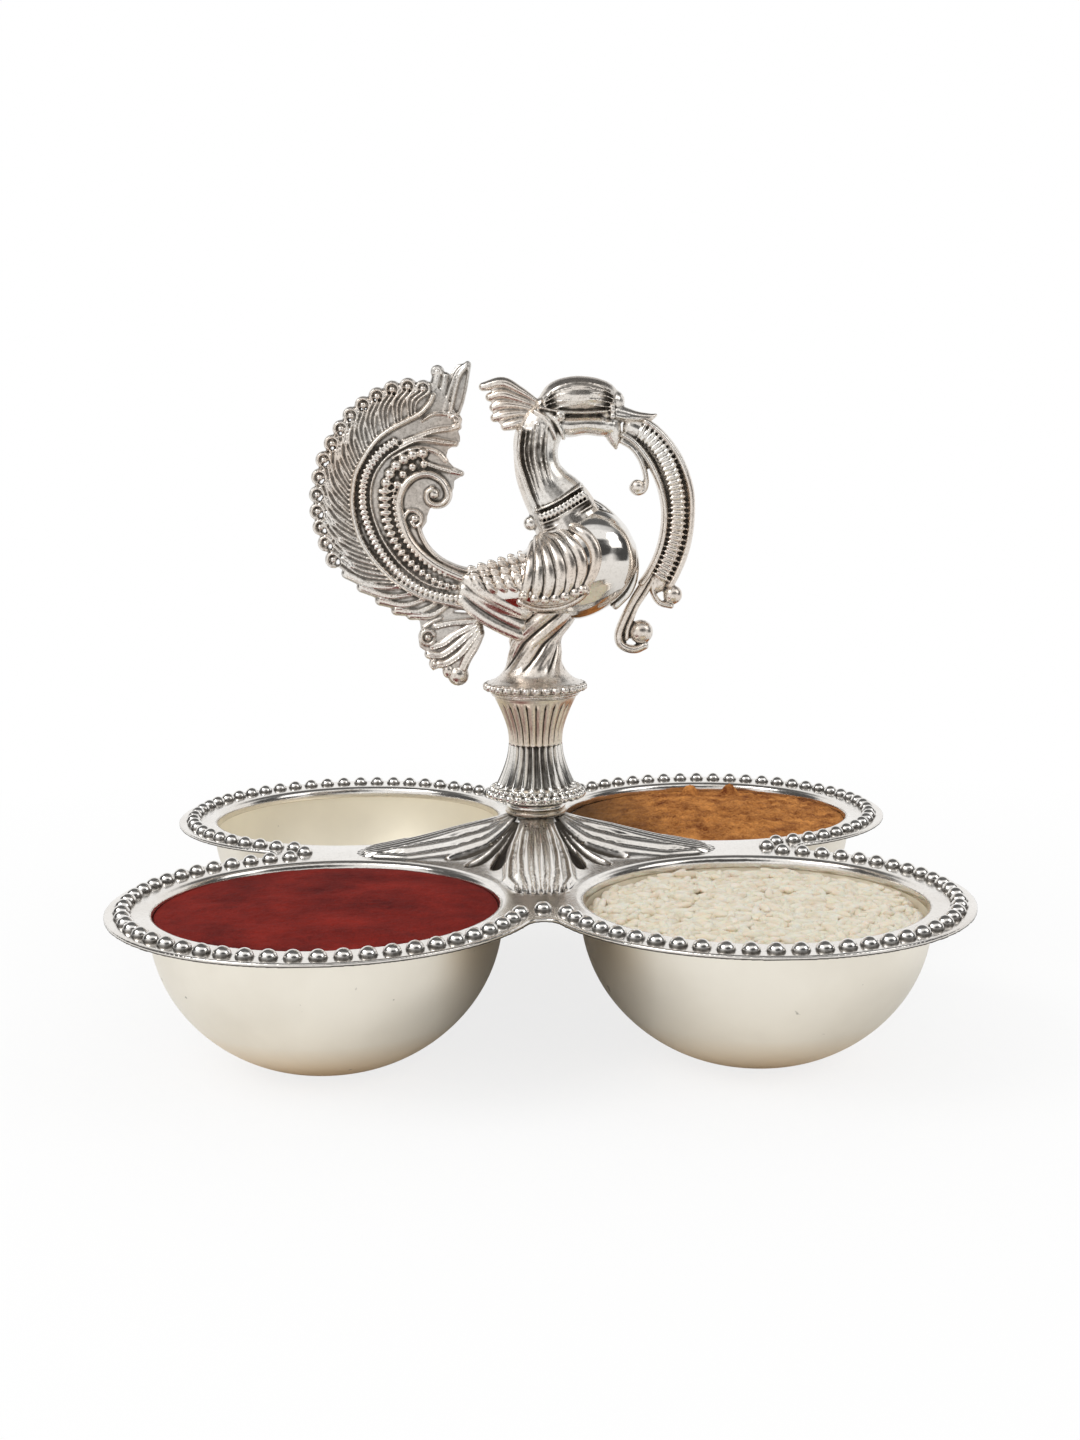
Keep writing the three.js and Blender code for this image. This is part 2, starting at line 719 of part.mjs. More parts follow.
// Materials
const silver = { color: 0xd9d3c6, metalness: 1, roughness: 0.24 };
const satin = { color: 0xd6cdbb, metalness: 1, roughness: 0.38 };
const steel = { color: 0x9fa3a6, metalness: 1, roughness: 0.4 };
const redPowder = { color: 0x792c25, metalness: 0, roughness: 0.95 };
const yellowPowder = { color: 0xad7241, metalness: 0, roughness: 0.95 };
const grain = { color: 0xd8cbb7, metalness: 0, roughness: 0.7 };

const stand = new THREE.Group();
stand.name = 'haldi_kumkum_box';

function place(name, geometry, look, [x, y] = [0, 0]) {
  const mesh = new THREE.Mesh(closed(geometry), new THREE.MeshStandardMaterial(look));
  mesh.name = name;
  mesh.position.set(x, y, 0);
  stand.add(mesh);
}

const backRight = [bowlCentre, bowlCentre];
const backLeft = [-bowlCentre, bowlCentre];
const frontLeft = [-bowlCentre, -bowlCentre];
const frontRight = [bowlCentre, -bowlCentre];

place('top_plate', topPlate(), silver);
place('bowl_front_left', bowl(), satin, frontLeft);
place('bowl_front_right', bowl(), satin, frontRight);
place('bowl_back_left', bowl(), satin, backLeft);
place('bowl_back_right', bowl(), satin, backRight);

// Height of a crowned surface over a place in its bowl
function crowned(drop, crown) {
  return (x, y) => {
    const out = Math.hypot(x, y) / collarInner;
    return plateHeight - drop + crown * (1 - out ** 2);
  };
}

// The rice lies in small mounds, one to each point of its surface
function mounded(x, y) {
  const out = (Math.hypot(x, y) / collarInner) * fillRings;
  const round = (Math.atan2(y, x) * fillSteps) / 2;
  return crowned(riceDrop, riceCrown)(x, y)
    + riceMound * Math.cos(round) * Math.cos(Math.PI * out);
}

// The turmeric leans to the back and the right, with two clumps at the back of it
const clumpShares = [[-0.02, 0.77], [0.28, 0.77]];
function turmericHeap() {
  const surface = (x, y) => {
    return crowned(turmericDrop, turmericCrown)(x - turmericLean, y - turmericLean);
  };
  return clumpShares.reduce((heap, [across, back]) => {
    const [x, y] = [across * mouthRadius, back * mouthRadius];
    const clump = new THREE.SphereGeometry(clumpRadius, 6, 4);
    clump.translate(x, y, surface(x, y) + clumpRadius - clumpSink);
    return heap.add(solid(clump));
  }, solid(fill(surface)));
}

place('kumkum_powder', fill(crowned(kumkumDrop, kumkumCrown)), redPowder, frontLeft);
place('rice_grains', fill(mounded), grain, frontRight);
place('turmeric_powder', carved(turmericHeap()), yellowPowder, backRight);

place('neck_ring', neckRing(), silver);
place('foot_collar', footCollar(), silver);
place('stem', stem(), silver);
place('cap_ring', capRing(), silver);
place('bird_pedestal', pedestal(), silver);
place('bird_body', birdBody(), silver);
place('bird_head', carved(birdHead().subtract(solid(birdBody(clearance)))), silver);
place('bird_crest', crest(), silver);
place('wing_left', carved(wing(1).subtract(birdHead(clearance))), silver);
place('wing_right', carved(wing(-1).subtract(birdHead(clearance))), silver);
place('bird_tail', tail(), silver);
place('beak_plume', carved(plume()), silver);
place('breast_scroll', scroll(), silver);
place('tie_rod', tieRod(), steel);
place('washer', washer(), steel);
place('nut', nut(), steel);

export default stand;
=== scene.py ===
import math
import bmesh
import bpy
import numpy as np
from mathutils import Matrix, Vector, geometry, noise


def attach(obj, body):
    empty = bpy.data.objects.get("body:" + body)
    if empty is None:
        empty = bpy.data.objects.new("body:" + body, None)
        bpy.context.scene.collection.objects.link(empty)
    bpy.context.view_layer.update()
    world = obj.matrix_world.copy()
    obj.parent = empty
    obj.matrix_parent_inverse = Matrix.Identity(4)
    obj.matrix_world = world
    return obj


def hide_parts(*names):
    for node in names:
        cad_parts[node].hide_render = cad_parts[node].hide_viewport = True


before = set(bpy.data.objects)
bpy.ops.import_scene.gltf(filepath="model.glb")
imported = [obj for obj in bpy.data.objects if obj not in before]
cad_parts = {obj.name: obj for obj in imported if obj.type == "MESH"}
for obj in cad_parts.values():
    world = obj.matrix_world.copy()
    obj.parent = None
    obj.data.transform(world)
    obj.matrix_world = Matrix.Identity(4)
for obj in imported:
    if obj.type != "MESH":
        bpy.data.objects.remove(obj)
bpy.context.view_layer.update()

MM = 0.001

# ---- camera
# The photograph looks down by nine degrees from a little left of the stem,
# through a lens with a field of 44 degrees from top to bottom.
SENSOR_HEIGHT = 36.0
LENS = 44.633
CAMERA_PLACE = (-7.648, -337.427, 105.837)
CAMERA_TURN = (81.1756, 0.4566, -1.5212)

camera_data = bpy.data.cameras.new("photo_camera")
camera_data.sensor_fit = "VERTICAL"
camera_data.sensor_height = SENSOR_HEIGHT
camera_data.lens = LENS
camera_data.clip_start = 0.01
camera_data.clip_end = 20.0
camera = bpy.data.objects.new("photo_camera", camera_data)
camera.location = [v * MM for v in CAMERA_PLACE]
camera.rotation_euler = [math.radians(v) for v in CAMERA_TURN]
bpy.context.scene.collection.objects.link(camera)
bpy.context.scene.camera = camera
bpy.context.scene.view_settings.view_transform = "Standard"

# ---- top plate
# One sheet of silvered brass, stamped to four lobes with a row of beads and a
# gadrooned rise in the middle; the rims of its openings are rolled down.
PLATE_TOP = 28.0
BOWL_CENTRE = 37.0
LOBE_RADIUS = 37.6
WEB_RADIUS = 2.75
SHEET = 0.7
OPENING = 30.0
COLLAR_INNER = 29.5
COLLAR_DROP = 2.4
RIM_LAP = 1.6
BEAD_ROW = 34.6
BEAD_RADIUS = 1.5
BEAD_HEIGHT = 1.45
BEADS_PER_LOBE = 38
BEAD_START = math.radians(17)
WEB_BEAD_REACH = 44.7
BEAD_SHADE = 0.6
NECK_RADIUS = 5.2
SKIRT_RISE = 7.3
SKIRT_TIP = 34.6
SKIRT_MARGIN = 2.2
FAN_WIDTHS = ((0.0, 1.2), (3.9, 2.9), (7.0, 4.3), (9.5, 5.5), (16.4, 6.6), (25.0, 6.8),
              (29.0, 5.8), (36.0, 4.7))
FAN_FOOT = 29.5
FAN_RIBS = 7
FAN_DEPTH = 1.35
GOUGE_DEPTH = 1.35
GOUGE_END = 16.6
GOUGE_ROUND = 2.4
UNDER_LIP = 0.3
PLATE_VOXEL = 0.26
TURN = 2 * math.pi
CENTRES = [(BOWL_CENTRE * x, BOWL_CENTRE * y) for x, y in ((1, 1), (-1, 1), (-1, -1), (1, -1))]


def body_from(name, shells):
    """A smooth mesh object in metres from shells of points and faces in millimetres."""
    points, faces = [], []
    for verts, polys in shells:
        faces += [[i + len(points) for i in face] for face in polys]
        points += (np.asarray(verts, float) * MM).tolist()
    mesh = bpy.data.meshes.new(name)
    mesh.from_pydata(points, [], faces)
    shell = bmesh.new()
    shell.from_mesh(mesh)
    bmesh.ops.recalc_face_normals(shell, faces=shell.faces)
    shell.to_mesh(mesh)
    shell.free()
    mesh.shade_smooth()
    made = bpy.data.objects.new(name, mesh)
    bpy.context.scene.collection.objects.link(made)
    return made


def loft_faces(rows, across, ring=False):
    """Quads between loops of points, with a cap at each end unless they close."""
    faces = []
    for i in range(rows if ring else rows - 1):
        n = (i + 1) % rows
        for j in range(across):
            k = (j + 1) % across
            faces.append([i * across + j, i * across + k, n * across + k, n * across + j])
    if not ring:
        faces.append(list(range(across))[::-1])
        faces.append([(rows - 1) * across + j for j in range(across)])
    return faces


def grid(*parts):
    """Points from the x, y and z of a grid."""
    return np.stack(np.broadcast_arrays(*parts), -1).reshape(-1, 3)


def spun(profile, steps, centre=(0, 0), shape=None, ring=False):
    """A profile of (radius, height) turned round a vertical axis, as a closed shell."""
    angle = np.arange(steps) / steps * TURN
    radius, height = np.asarray(profile, float).T[:, :, None]
    if shape:
        radius, height = shape(radius, height, angle)
    return (grid(centre[0] + radius * np.cos(angle), centre[1] + radius * np.sin(angle), height),
            loft_faces(len(profile), steps, ring))


def mark_hollows(made, rounds, depth):
    """Writes how deep each point lies in a recess of the surface, from 0 to 1."""
    mesh = made.data
    count = len(mesh.vertices)

    def read(source, key, size, kind=float):
        values = np.empty(len(source) * size, kind)
        source.foreach_get(key, values)
        return values.reshape(-1, size)

    place = read(mesh.vertices, "co", 3) / MM
    a, b = read(mesh.edges, "vertices", 2, int).T
    near = np.maximum(np.bincount(a, minlength=count) + np.bincount(b, minlength=count), 1)
    level = place
    for _ in range(rounds):
        level = np.stack([np.bincount(a, level[b, k], count) + np.bincount(b, level[a, k], count)
                          for k in range(3)], 1) / near[:, None]
    sunk = ((level - place) * read(mesh.vertices, "normal", 3)).sum(1)
    mesh.attributes.new("hollow", "FLOAT", "POINT")
    return place, set_hollows(made, sunk / depth)


def set_hollows(made, hollow):
    """Sets the patina and painted shade of a piece to new values."""
    hollow = np.clip(hollow, 0, 1)
    made.data.attributes["hollow"].data.foreach_set("value", hollow)
    return hollow


def cast(name, shells, voxel, soften=2):
    """Joins overlapping shells into one skin, softened as a casting is."""
    made = body_from(name, shells)
    skin = made.modifiers.new("skin", "REMESH")
    skin.mode = "VOXEL"
    skin.voxel_size = voxel * MM
    skin.use_smooth_shade = True
    soft = made.modifiers.new("soft", "SMOOTH")
    soft.factor = 0.5
    soft.iterations = soften
    graph = bpy.context.evaluated_depsgraph_get()
    mesh = bpy.data.meshes.new_from_object(made.evaluated_get(graph))
    made.modifiers.clear()
    made.data = mesh
    mesh.name = name
    return made


def node(tree, kind, **values):
    """A shader node with its settings, values and links; _0 is its first socket."""
    made = tree.nodes.new("ShaderNode" + kind)
    for key, value in values.items():
        socket = int(key[1:]) if key[0] == "_" else key.replace("_", " ")
        if isinstance(socket, str) and socket not in made.inputs:
            setattr(made, key, value)
        elif isinstance(value, bpy.types.NodeSocket):
            tree.links.new(value, made.inputs[socket])
        else:
            made.inputs[socket].default_value = value
    return made


def sum_of(tree, operation, *values):
    """One step of arithmetic in a material."""
    sockets = {"_%d" % k: value for k, value in enumerate(values)}
    return node(tree, "Math", operation=operation, **sockets).outputs[0]


def blend(tree, share, low, high):
    """A colour between two others."""
    return node(tree, "Mix", data_type="RGBA", _0=share, _6=low, _7=high).outputs[2]


def span(tree, value, low, high, to_low=0.0, to_high=1.0):
    """A value taken from one range to another, and kept inside it."""
    return node(tree, "MapRange", Value=value, From_Min=low, From_Max=high,
                To_Min=to_low, To_Max=to_high).outputs[0]


def clouds(tree, place, scale, detail=3.0, rough=0.5):
    """Uneven patches; the scale is how many fit in a metre."""
    return node(tree, "TexNoise", Vector=place, Scale=scale, Detail=detail,
                Roughness=rough).outputs["Fac"]


def bare_finish(name):
    """A new material, its empty node tree, and places on the object in metres."""
    material = bpy.data.materials.new(name)
    material.use_nodes = True
    material.node_tree.nodes.clear()
    return material, material.node_tree, node(material.node_tree, "TexCoord").outputs["Object"]


def surfaced(tree, shader="BsdfPrincipled", output="OutputMaterial", **values):
    """Joins a shader with its values to the output."""
    tree.links.new(node(tree, shader, **values).outputs[0], node(tree, output).inputs[0])


def silver(name, bright, worn, polish, dents=0.00005, grain=0.15):
    """Silver plate: bright on the heights, oxidised in the hollows and dark where
    shade is painted, with wear, smudges and the faint unevenness of cast or stamped metal."""
    material, tree, place = bare_finish(name)
    hollow = node(tree, "Attribute", attribute_name="hollow").outputs["Fac"]
    broken = clouds(tree, place, 900.0, 4.0, 0.6)
    smudge = span(tree, clouds(tree, place, 70.0), 0.35, 0.7)
    speck = span(tree, clouds(tree, place, 2300.0, 3.0, 0.7), 0.48, 0.68, 0.0, grain)
    # The oxide also carries the painted shade that some pieces set in the same attribute.
    oxide_and_shade = span(tree, sum_of(tree, "MULTIPLY_ADD", broken, 0.5, hollow), 0.5, 1.2)
    plated = blend(tree, speck, blend(tree, smudge, bright, worn), (0.2, 0.165, 0.13, 1))
    rough = span(tree, broken, 0.3, 0.75, polish, polish + 0.1)
    dent = node(tree, "Bump", Strength=0.6, Distance=dents,
                Height=clouds(tree, place, 300.0, 5.0, 0.55))
    surfaced(tree, Base_Color=blend(tree, oxide_and_shade, plated, (0.085, 0.074, 0.062, 1)), Metallic=1.0,
             Roughness=sum_of(tree, "MULTIPLY_ADD", oxide_and_shade, 0.35, rough), Normal=dent.outputs[0])
    return material


def fit(made, material, slot, *nodes):
    """Gives a piece its material and body, in place of its solids; the slot is not used."""
    made.data.materials.clear()
    made.data.materials.append(material)
    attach(made, "root")
    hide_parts(*nodes)


def arc(centre, radius, angles):
    """Points round a centre."""
    return [(centre[0] + radius * math.cos(a), centre[1] + radius * math.sin(a)) for a in angles]


def plate_outline():
    """Four round lobes, joined in the corners between them by small hollow arcs."""
    past = math.sqrt((LOBE_RADIUS + WEB_RADIUS) ** 2 - BOWL_CENTRE ** 2)
    lean = math.atan2(past, BOWL_CENTRE)
    points = []
    for side, centre in enumerate(CENTRES):
        turn = side * math.pi / 2
        sweep = np.linspace(turn - math.pi / 2 + lean, turn + math.pi - lean, 70)[:-1]
        points += arc(centre, LOBE_RADIUS, sweep)
        web = [(BOWL_CENTRE + past) * v for v in (-math.sin(turn), math.cos(turn))]
        points += arc(web, WEB_RADIUS, np.linspace(turn - lean, turn - math.pi + lean, 12)[:-1])
    return points


def skirt_reach(angle):
    """How far out the rise runs: to its tip, or to the rim of an opening."""
    middle = BOWL_CENTRE * math.sqrt(2)
    off = np.abs(angle % (math.pi / 2) - math.pi / 4)
    rim = OPENING + SKIRT_MARGIN
    half = rim ** 2 - (middle * np.sin(off)) ** 2
    to_rim = middle * np.cos(off) - np.sqrt(np.maximum(half, 0))
    return np.where(half > 0, np.minimum(SKIRT_TIP, to_rim), SKIRT_TIP)


def prism(loops, ends, place):
    """A closed sheet between two ends, inside its first loop and outside the others."""
    flat = geometry.tessellate_polygon([[Vector((*p, 0)) for p in loop] for loop in loops])
    points = [place(*p, end) for end in ends for loop in loops for p in loop]
    count = len(points) // 2
    faces = [list(t) for t in flat] + [[i + count for i in t[::-1]] for t in flat]
    start = 0
    for loop in loops:
        for j in range(len(loop)):
            a, b = start + j, start + (j + 1) % len(loop)
            faces.append([a, b, b + count, a + count])
        start += len(loop)
    return points, faces


def plate_sheet():
    """The flat of the plate with its openings."""
    sweep = np.arange(90) / 90 * TURN
    loops = [plate_outline()] + [arc(centre, OPENING + 0.8, sweep) for centre in CENTRES]
    sweep = (np.arange(160) + 0.5) / 160 * TURN
    inner = skirt_reach(sweep) * 0.97
    loops.append(list(zip(inner * np.cos(sweep), inner * np.sin(sweep))))
    return prism(loops, (PLATE_TOP, PLATE_TOP - SHEET), lambda x, y, z: (x, y, z))


def skirt_rise(share, angle):
    """The smooth height of the rise, straighter down its four arms."""
    return SKIRT_RISE * (1 - share) ** (2.4 - 1.1 * np.cos(2 * angle) ** 2)


def skirt_form(x, y):
    """The height of the rise over the plate, and how far a place lies in one of
    its hollows: a fan of ribs runs down each arm, with gouges between the fans."""
    along, aside = np.maximum(np.abs(x), np.abs(y)), np.minimum(np.abs(x), np.abs(y))
    radius = np.hypot(x, y)
    share = np.clip((radius - NECK_RADIUS) / (skirt_reach(np.arctan2(y, x)) - NECK_RADIUS), 0, 1)
    height = skirt_rise(share, np.arctan2(y, x))
    half = np.interp(along, *zip(*FAN_WIDTHS))
    ribbed = np.clip(aside / half, 0, 1)
    across = (ribbed * FAN_RIBS / 2 + 0.5) % 1 * 2 - 1
    foot = FAN_FOOT + (SKIRT_TIP - FAN_FOOT) * np.sqrt(1 - ribbed ** 2)
    end = np.clip((along / foot - 0.92) / 0.08, 0, 1)
    swell = np.sqrt(np.maximum(0, 1 - across ** 2 - end ** 2))
    in_fan = (aside < half) & (along < foot)
    width = np.clip((radius - 3) / 12, 0.3, 1)
    height = height + np.where(in_fan, FAN_DEPTH * width * (swell - 0.55), 0)
    hollow = np.where(in_fan, np.clip(1 - swell / 0.5, 0, 1), 0)
    grown = np.clip((radius - 5) / 11, 0, 1)
    past = np.maximum(0, radius - GOUGE_END)
    for gap, wide in (((along - aside) / math.sqrt(2), 0.35 + 1.05 * grown),
                      (aside - half - 0.45 - 0.8 * grown, 0.35 + 0.85 * grown)):
        sunk = np.sqrt(np.maximum(0, 1 - (gap / wide) ** 2 - (past / GOUGE_ROUND) ** 2))
        height = height - GOUGE_DEPTH * (0.5 + 0.5 * grown) * sunk
        hollow = np.maximum(hollow, np.clip(sunk * 1.5, 0, 1))
    return height, hollow


def skirt_sheet():
    """The rise in the middle, as a closed sheet that runs out into the flat."""
    around, along = 1080, 120
    angle = np.arange(around) / around * TURN
    share = np.linspace(0, 1, along)[:, None]
    radius = NECK_RADIUS + share * (skirt_reach(angle) - NECK_RADIUS)
    x, y = radius * np.cos(angle), radius * np.sin(angle)
    top = PLATE_TOP + skirt_form(x, y)[0]
    edge = np.clip((share - 0.95) / 0.05, 0, 1)
    top = top * (1 - edge) + (PLATE_TOP - 0.02) * edge
    low = np.minimum(PLATE_TOP + skirt_rise(share, angle) - SHEET, top - 0.5)
    points = np.vstack([grid(x, y, top), grid(x[::-1], y[::-1], low[::-1])])
    return points, loft_faces(along * 2, around, ring=True)


def rim_ring(centre):
    """The rim rolled down round an opening."""
    bend = [(OPENING + RIM_LAP, 0), (OPENING + 0.9, 0), (OPENING + 0.3, -0.1),
            (OPENING - 0.15, -0.4), (OPENING - 0.4, -0.9), (COLLAR_INNER, -1.6),
            (COLLAR_INNER, -COLLAR_DROP), (COLLAR_INNER + 0.6, -COLLAR_DROP),
            (COLLAR_INNER + 0.65, -1.5), (OPENING + 0.8, -SHEET), (OPENING + RIM_LAP, -SHEET)]
    return spun([(r, PLATE_TOP + z) for r, z in bend], 180, centre, ring=True)


def bead_centres():
    """A row round each lobe, and a single bead in each corner between them."""
    centres = []
    for side, centre in enumerate(CENTRES):
        turn = side * math.pi / 2
        sweep = np.linspace(turn - math.pi / 2 + BEAD_START, turn + math.pi - BEAD_START,
                            BEADS_PER_LOBE)
        centres += arc(centre, BEAD_ROW, sweep)
        centres.append((-math.sin(turn) * WEB_BEAD_REACH, math.cos(turn) * WEB_BEAD_REACH))
    return np.array(centres)


def bead(x, y):
    """A round pearl bead struck up out of the sheet."""
    lift = np.linspace(-0.1, math.pi / 2 * 0.985, 12)
    profile = [(BEAD_RADIUS * math.cos(a), PLATE_TOP + BEAD_HEIGHT * math.sin(a)) for a in lift]
    return spun(profile, 24, (x, y))


plate = cast("plate_sheet", [plate_sheet(), skirt_sheet()] + [rim_ring(c) for c in CENTRES],
             PLATE_VOXEL, soften=1)
beads = bead_centres()
place, hollow = mark_hollows(plate, 5, 0.2)
x, y, z = place.T
# Painted shade: a dark ring on the plate round the foot of each bead.
for bx, by in beads:
    ring = np.clip(1.0 - (np.hypot(x - bx, y - by) - BEAD_RADIUS) / 0.25, 0, BEAD_SHADE)
    hollow = np.maximum(hollow, ring * (z > PLATE_TOP - UNDER_LIP))
from_axis = np.hypot(x, y)
# Painted shade on the plate round the stem, under the collar.
hollow = np.maximum(hollow, np.clip(1 - (from_axis - NECK_RADIUS) / 3.0, 0, 1) * 0.8)
on_top = (z > PLATE_TOP - 0.9) & (from_axis < SKIRT_TIP)
hollow = np.maximum(hollow, skirt_form(x, y)[1] * on_top)
# Painted shade along the underside of the plate's outer edge, away from the bowls and the rise.
off_bowls = np.min([np.hypot(x - cx, y - cy) for cx, cy in CENTRES], 0)
under_lip = np.clip((PLATE_TOP - UNDER_LIP - z) / 0.15, 0, 1.3)
hollow = np.maximum(hollow, under_lip * (off_bowls > OPENING + 2.5) * (from_axis > SKIRT_TIP))
set_hollows(plate, hollow)
plate_silver = silver("plate_silver", (0.86, 0.83, 0.79, 1), (0.76, 0.72, 0.67, 1), 0.12)
fit(plate, plate_silver, "silver_plate", "top_plate")

pearls = body_from("pearl_beads", [bead(x, y) for x, y in beads])
place, _ = mark_hollows(pearls, 1, 1.0)
# Painted shade on the lower part of each bead, darker toward where it meets the plate.
set_hollows(pearls, np.clip((PLATE_TOP + 0.6 - place[:, 2]) / 0.4, 0, 0.8))
pearl_silver = silver("pearl_silver", (0.88, 0.86, 0.83, 1), (0.8, 0.77, 0.73, 1), 0.13)
fit(pearls, pearl_silver, "silver_plate", "top_plate")

# ---- bowls
# Four bowls spun from brass sheet and silvered, with a satin face that the
# spinning tool left in rings, and a flat foot; soldered under the plate.
BOWL_RADIUS = 30.4
BOWL_FOOT = 8.0
BOWL_RIM = 27.25
BOWL_STEPS = 160
BETWEEN_BOWLS = (0.009, 0.018)


def bowl_wall(inset, steps):
    """Points down a bowl's wall from its rim to its foot."""
    angle = np.linspace(0, math.pi / 2, steps)
    foot = BOWL_FOOT - inset
    radius = foot + (BOWL_RADIUS - inset - foot) * np.cos(angle) ** 1.3
    height = inset + (BOWL_RIM - inset) * (1 - np.sin(angle) ** 0.9)
    return list(zip(radius, height))


def satin(name, face, foot, matt, metal, between_shade):
    """Satin silver: rings left by spinning, small dark pits, a painted reflection of the
    shaded floor that makes it darker and warmer toward the foot, and painted shade
    where the bowls stand close and face each other."""
    material, tree, place = bare_finish(name)
    across, along, height = node(tree, "SeparateXYZ", Vector=place).outputs
    close = sum_of(tree, "MINIMUM", *(sum_of(tree, "ABSOLUTE", v) for v in (across, along)))
    # Painted reflection: darker and warmer toward the foot, standing for the shaded floor that the
    # wall mirrors.
    tone_with_painted_reflection = blend(tree, span(tree, height, 0.001, 0.01), foot, face)
    cloud = clouds(tree, place, 45.0, 4.0)
    base = blend(tree, span(tree, cloud, 0.4, 0.75, 0, 0.5), tone_with_painted_reflection, (0.72, 0.66, 0.56, 1))
    # Painted shade where the bowls face each other, near the gaps between them.
    base = blend(tree, span(tree, close, *BETWEEN_BOWLS, between_shade, 0), base, (0.45, 0.36, 0.25, 1))
    pitted = span(tree, clouds(tree, place, 420.0, 2.0), 0.74, 0.8)
    stretched = node(tree, "Mapping", Vector=place, Scale=(30.0, 30.0, 2600.0)).outputs[0]
    rings = node(tree, "Bump", Strength=0.25, Distance=0.00002,
                 Height=clouds(tree, stretched, 1.0)).outputs[0]
    dent = node(tree, "Bump", Strength=0.5, Distance=0.0001, Height=cloud, Normal=rings)
    surfaced(tree, Base_Color=blend(tree, pitted, base, (0.2, 0.17, 0.13, 1)), Metallic=metal,
             Roughness=span(tree, cloud, 0.3, 0.7, matt, matt + 0.1), Normal=dent.outputs[0])
    return material


# Both bowl finishes paint a reflection toward the foot and paint shade between the bowls.
bowl_silver = satin("bowl_silver", (0.92, 0.87, 0.77, 1), (0.84, 0.65, 0.42, 1), 0.31, 0.85, 0.6)
bowl_cream = satin("bowl_cream", (0.95, 0.89, 0.74, 1), (0.9, 0.82, 0.66, 1), 0.42, 0.35, 0.15)
BOWLS = ("bowl_back_right", "bowl_back_left", "bowl_front_left", "bowl_front_right")
for bowl_name, middle in zip(BOWLS, CENTRES):
    outside = bowl_wall(0, 48) + [(BOWL_FOOT * 0.94, 0.0), (0.05, 0.0)]
    inside = [(0.05, SHEET)] + bowl_wall(SHEET, 48)[::-1]
    bowl = body_from(bowl_name + "_spun", [spun(outside + inside, BOWL_STEPS, middle, ring=True)])
    fit(bowl, bowl_silver, "silver_bowl", bowl_name)
    bowl.data.materials.append(bowl_cream)
    for face in bowl.data.polygons:
        x, y = (face.center[k] - middle[k] * MM for k in (0, 1))
        lean = face.normal.x * x + face.normal.y * y
        face.material_index = int(face.normal.z > 0.9 or lean < 0 and face.normal.z > -0.5)

# ---- fillings
# Kumkum powder fills the front left bowl, raw rice the front right one, and
# turmeric is heaped in the back right one; each is loose and only lies there.
FILL_STEPS = 220
FILL_RINGS = 110
FILL_GAP = 0.06
# Where painted shade browns the turmeric on its side toward the stem, in metres.
SHADED_SIDE = (0.012, 0.03)
KUMKUM_DROP = 1.3
KUMKUM_BASE = 22.0


def heap(name, centre, surface, relief, base):
    """A bed of powder: a relief over a smooth surface, closed below."""
    angle = np.arange(FILL_STEPS) / FILL_STEPS * TURN
    share = np.linspace(0.0, 1, FILL_RINGS) ** 0.75
    share[0] = 0.004
    points = []
    for s in share:
        for x, y in arc((0, 0), s * (COLLAR_INNER - FILL_GAP), angle):
            rough = relief(x, y) * min(1, (1 - s) * 12 + 0.25)
            points.append((centre[0] + x, centre[1] + y, surface(x, y) + rough))
    for radius in (COLLAR_INNER - 3.0, 4.0):
        points += [(x, y, base) for x, y in arc(centre, radius, angle)]
    return body_from(name, [(points, loft_faces(FILL_RINGS + 2, FILL_STEPS))])


def fractal(x, y, scale, seed, octaves=5):
    """Uneven ground; the scale is the breadth of its largest swells."""
    return noise.fractal(Vector((x / scale, y / scale, seed)), 0.75, 2.1, octaves)


def powder(name, light, deep, fine, patches, side_shade=0.0):
    """Fine dry powder: matt and mottled, browner toward the stem by painted shade."""
    material, tree, place = bare_finish(name)
    grain = clouds(tree, place, fine, 3.0, 0.7)
    mottled = sum_of(tree, "MULTIPLY_ADD", grain, 0.5, clouds(tree, place, patches, 6.0, 0.65))
    colour = blend(tree, span(tree, mottled, 0.55, 0.98), deep, light)
    side = node(tree, "SeparateXYZ", Vector=place).outputs["X"]
    # Painted shade: darker brown on the side toward the stem, where the bowl's wall would shade the
    # bed.
    colour = blend(tree, span(tree, side, *SHADED_SIDE, side_shade, 0), colour, (0.1, 0.05, 0.02, 1))
    bump = node(tree, "Bump", Strength=0.8, Distance=0.00025, Height=grain)
    surfaced(tree, Base_Color=colour, Roughness=0.95, Normal=bump.outputs[0],
             Specular_IOR_Level=0.15)
    return material


def kumkum_level(x, y):
    """A bed that stands a little higher in its middle."""
    out = math.hypot(x, y) / COLLAR_INNER
    return PLATE_TOP - KUMKUM_DROP + 0.8 * (1 - out ** 2)


kumkum = heap("kumkum_bed", (-BOWL_CENTRE, -BOWL_CENTRE), kumkum_level,
              lambda x, y: 0.3 * fractal(x, y, 11, 3.1) + 0.09 * fractal(x, y, 1.3, 8.2, 3),
              KUMKUM_BASE)
fit(kumkum, powder("kumkum_red", (0.285, 0.021, 0.013, 1), (0.09, 0.006, 0.005, 1), 2600.0, 70.0),
    "kumkum", "kumkum_powder")

TURMERIC_DROP = 2.0
TURMERIC_BASE = 17.0
LUMPS = ((-0.6, 23.1), (8.4, 23.1))
LUMP_HEIGHT = 2.0
LUMP_SPREAD = 3.2


def turmeric_level(x, y):
    """A bed that leans away from the stem, with two lumps at the back."""
    out = math.hypot(x - 3, y) / COLLAR_INNER
    rise = PLATE_TOP - TURMERIC_DROP + 1.5 * (1 - out ** 2)
    for lx, ly in LUMPS:
        off = ((x - lx) ** 2 + (y - ly) ** 2) / LUMP_SPREAD
        rise += LUMP_HEIGHT * math.exp(-off ** 2)
    return rise


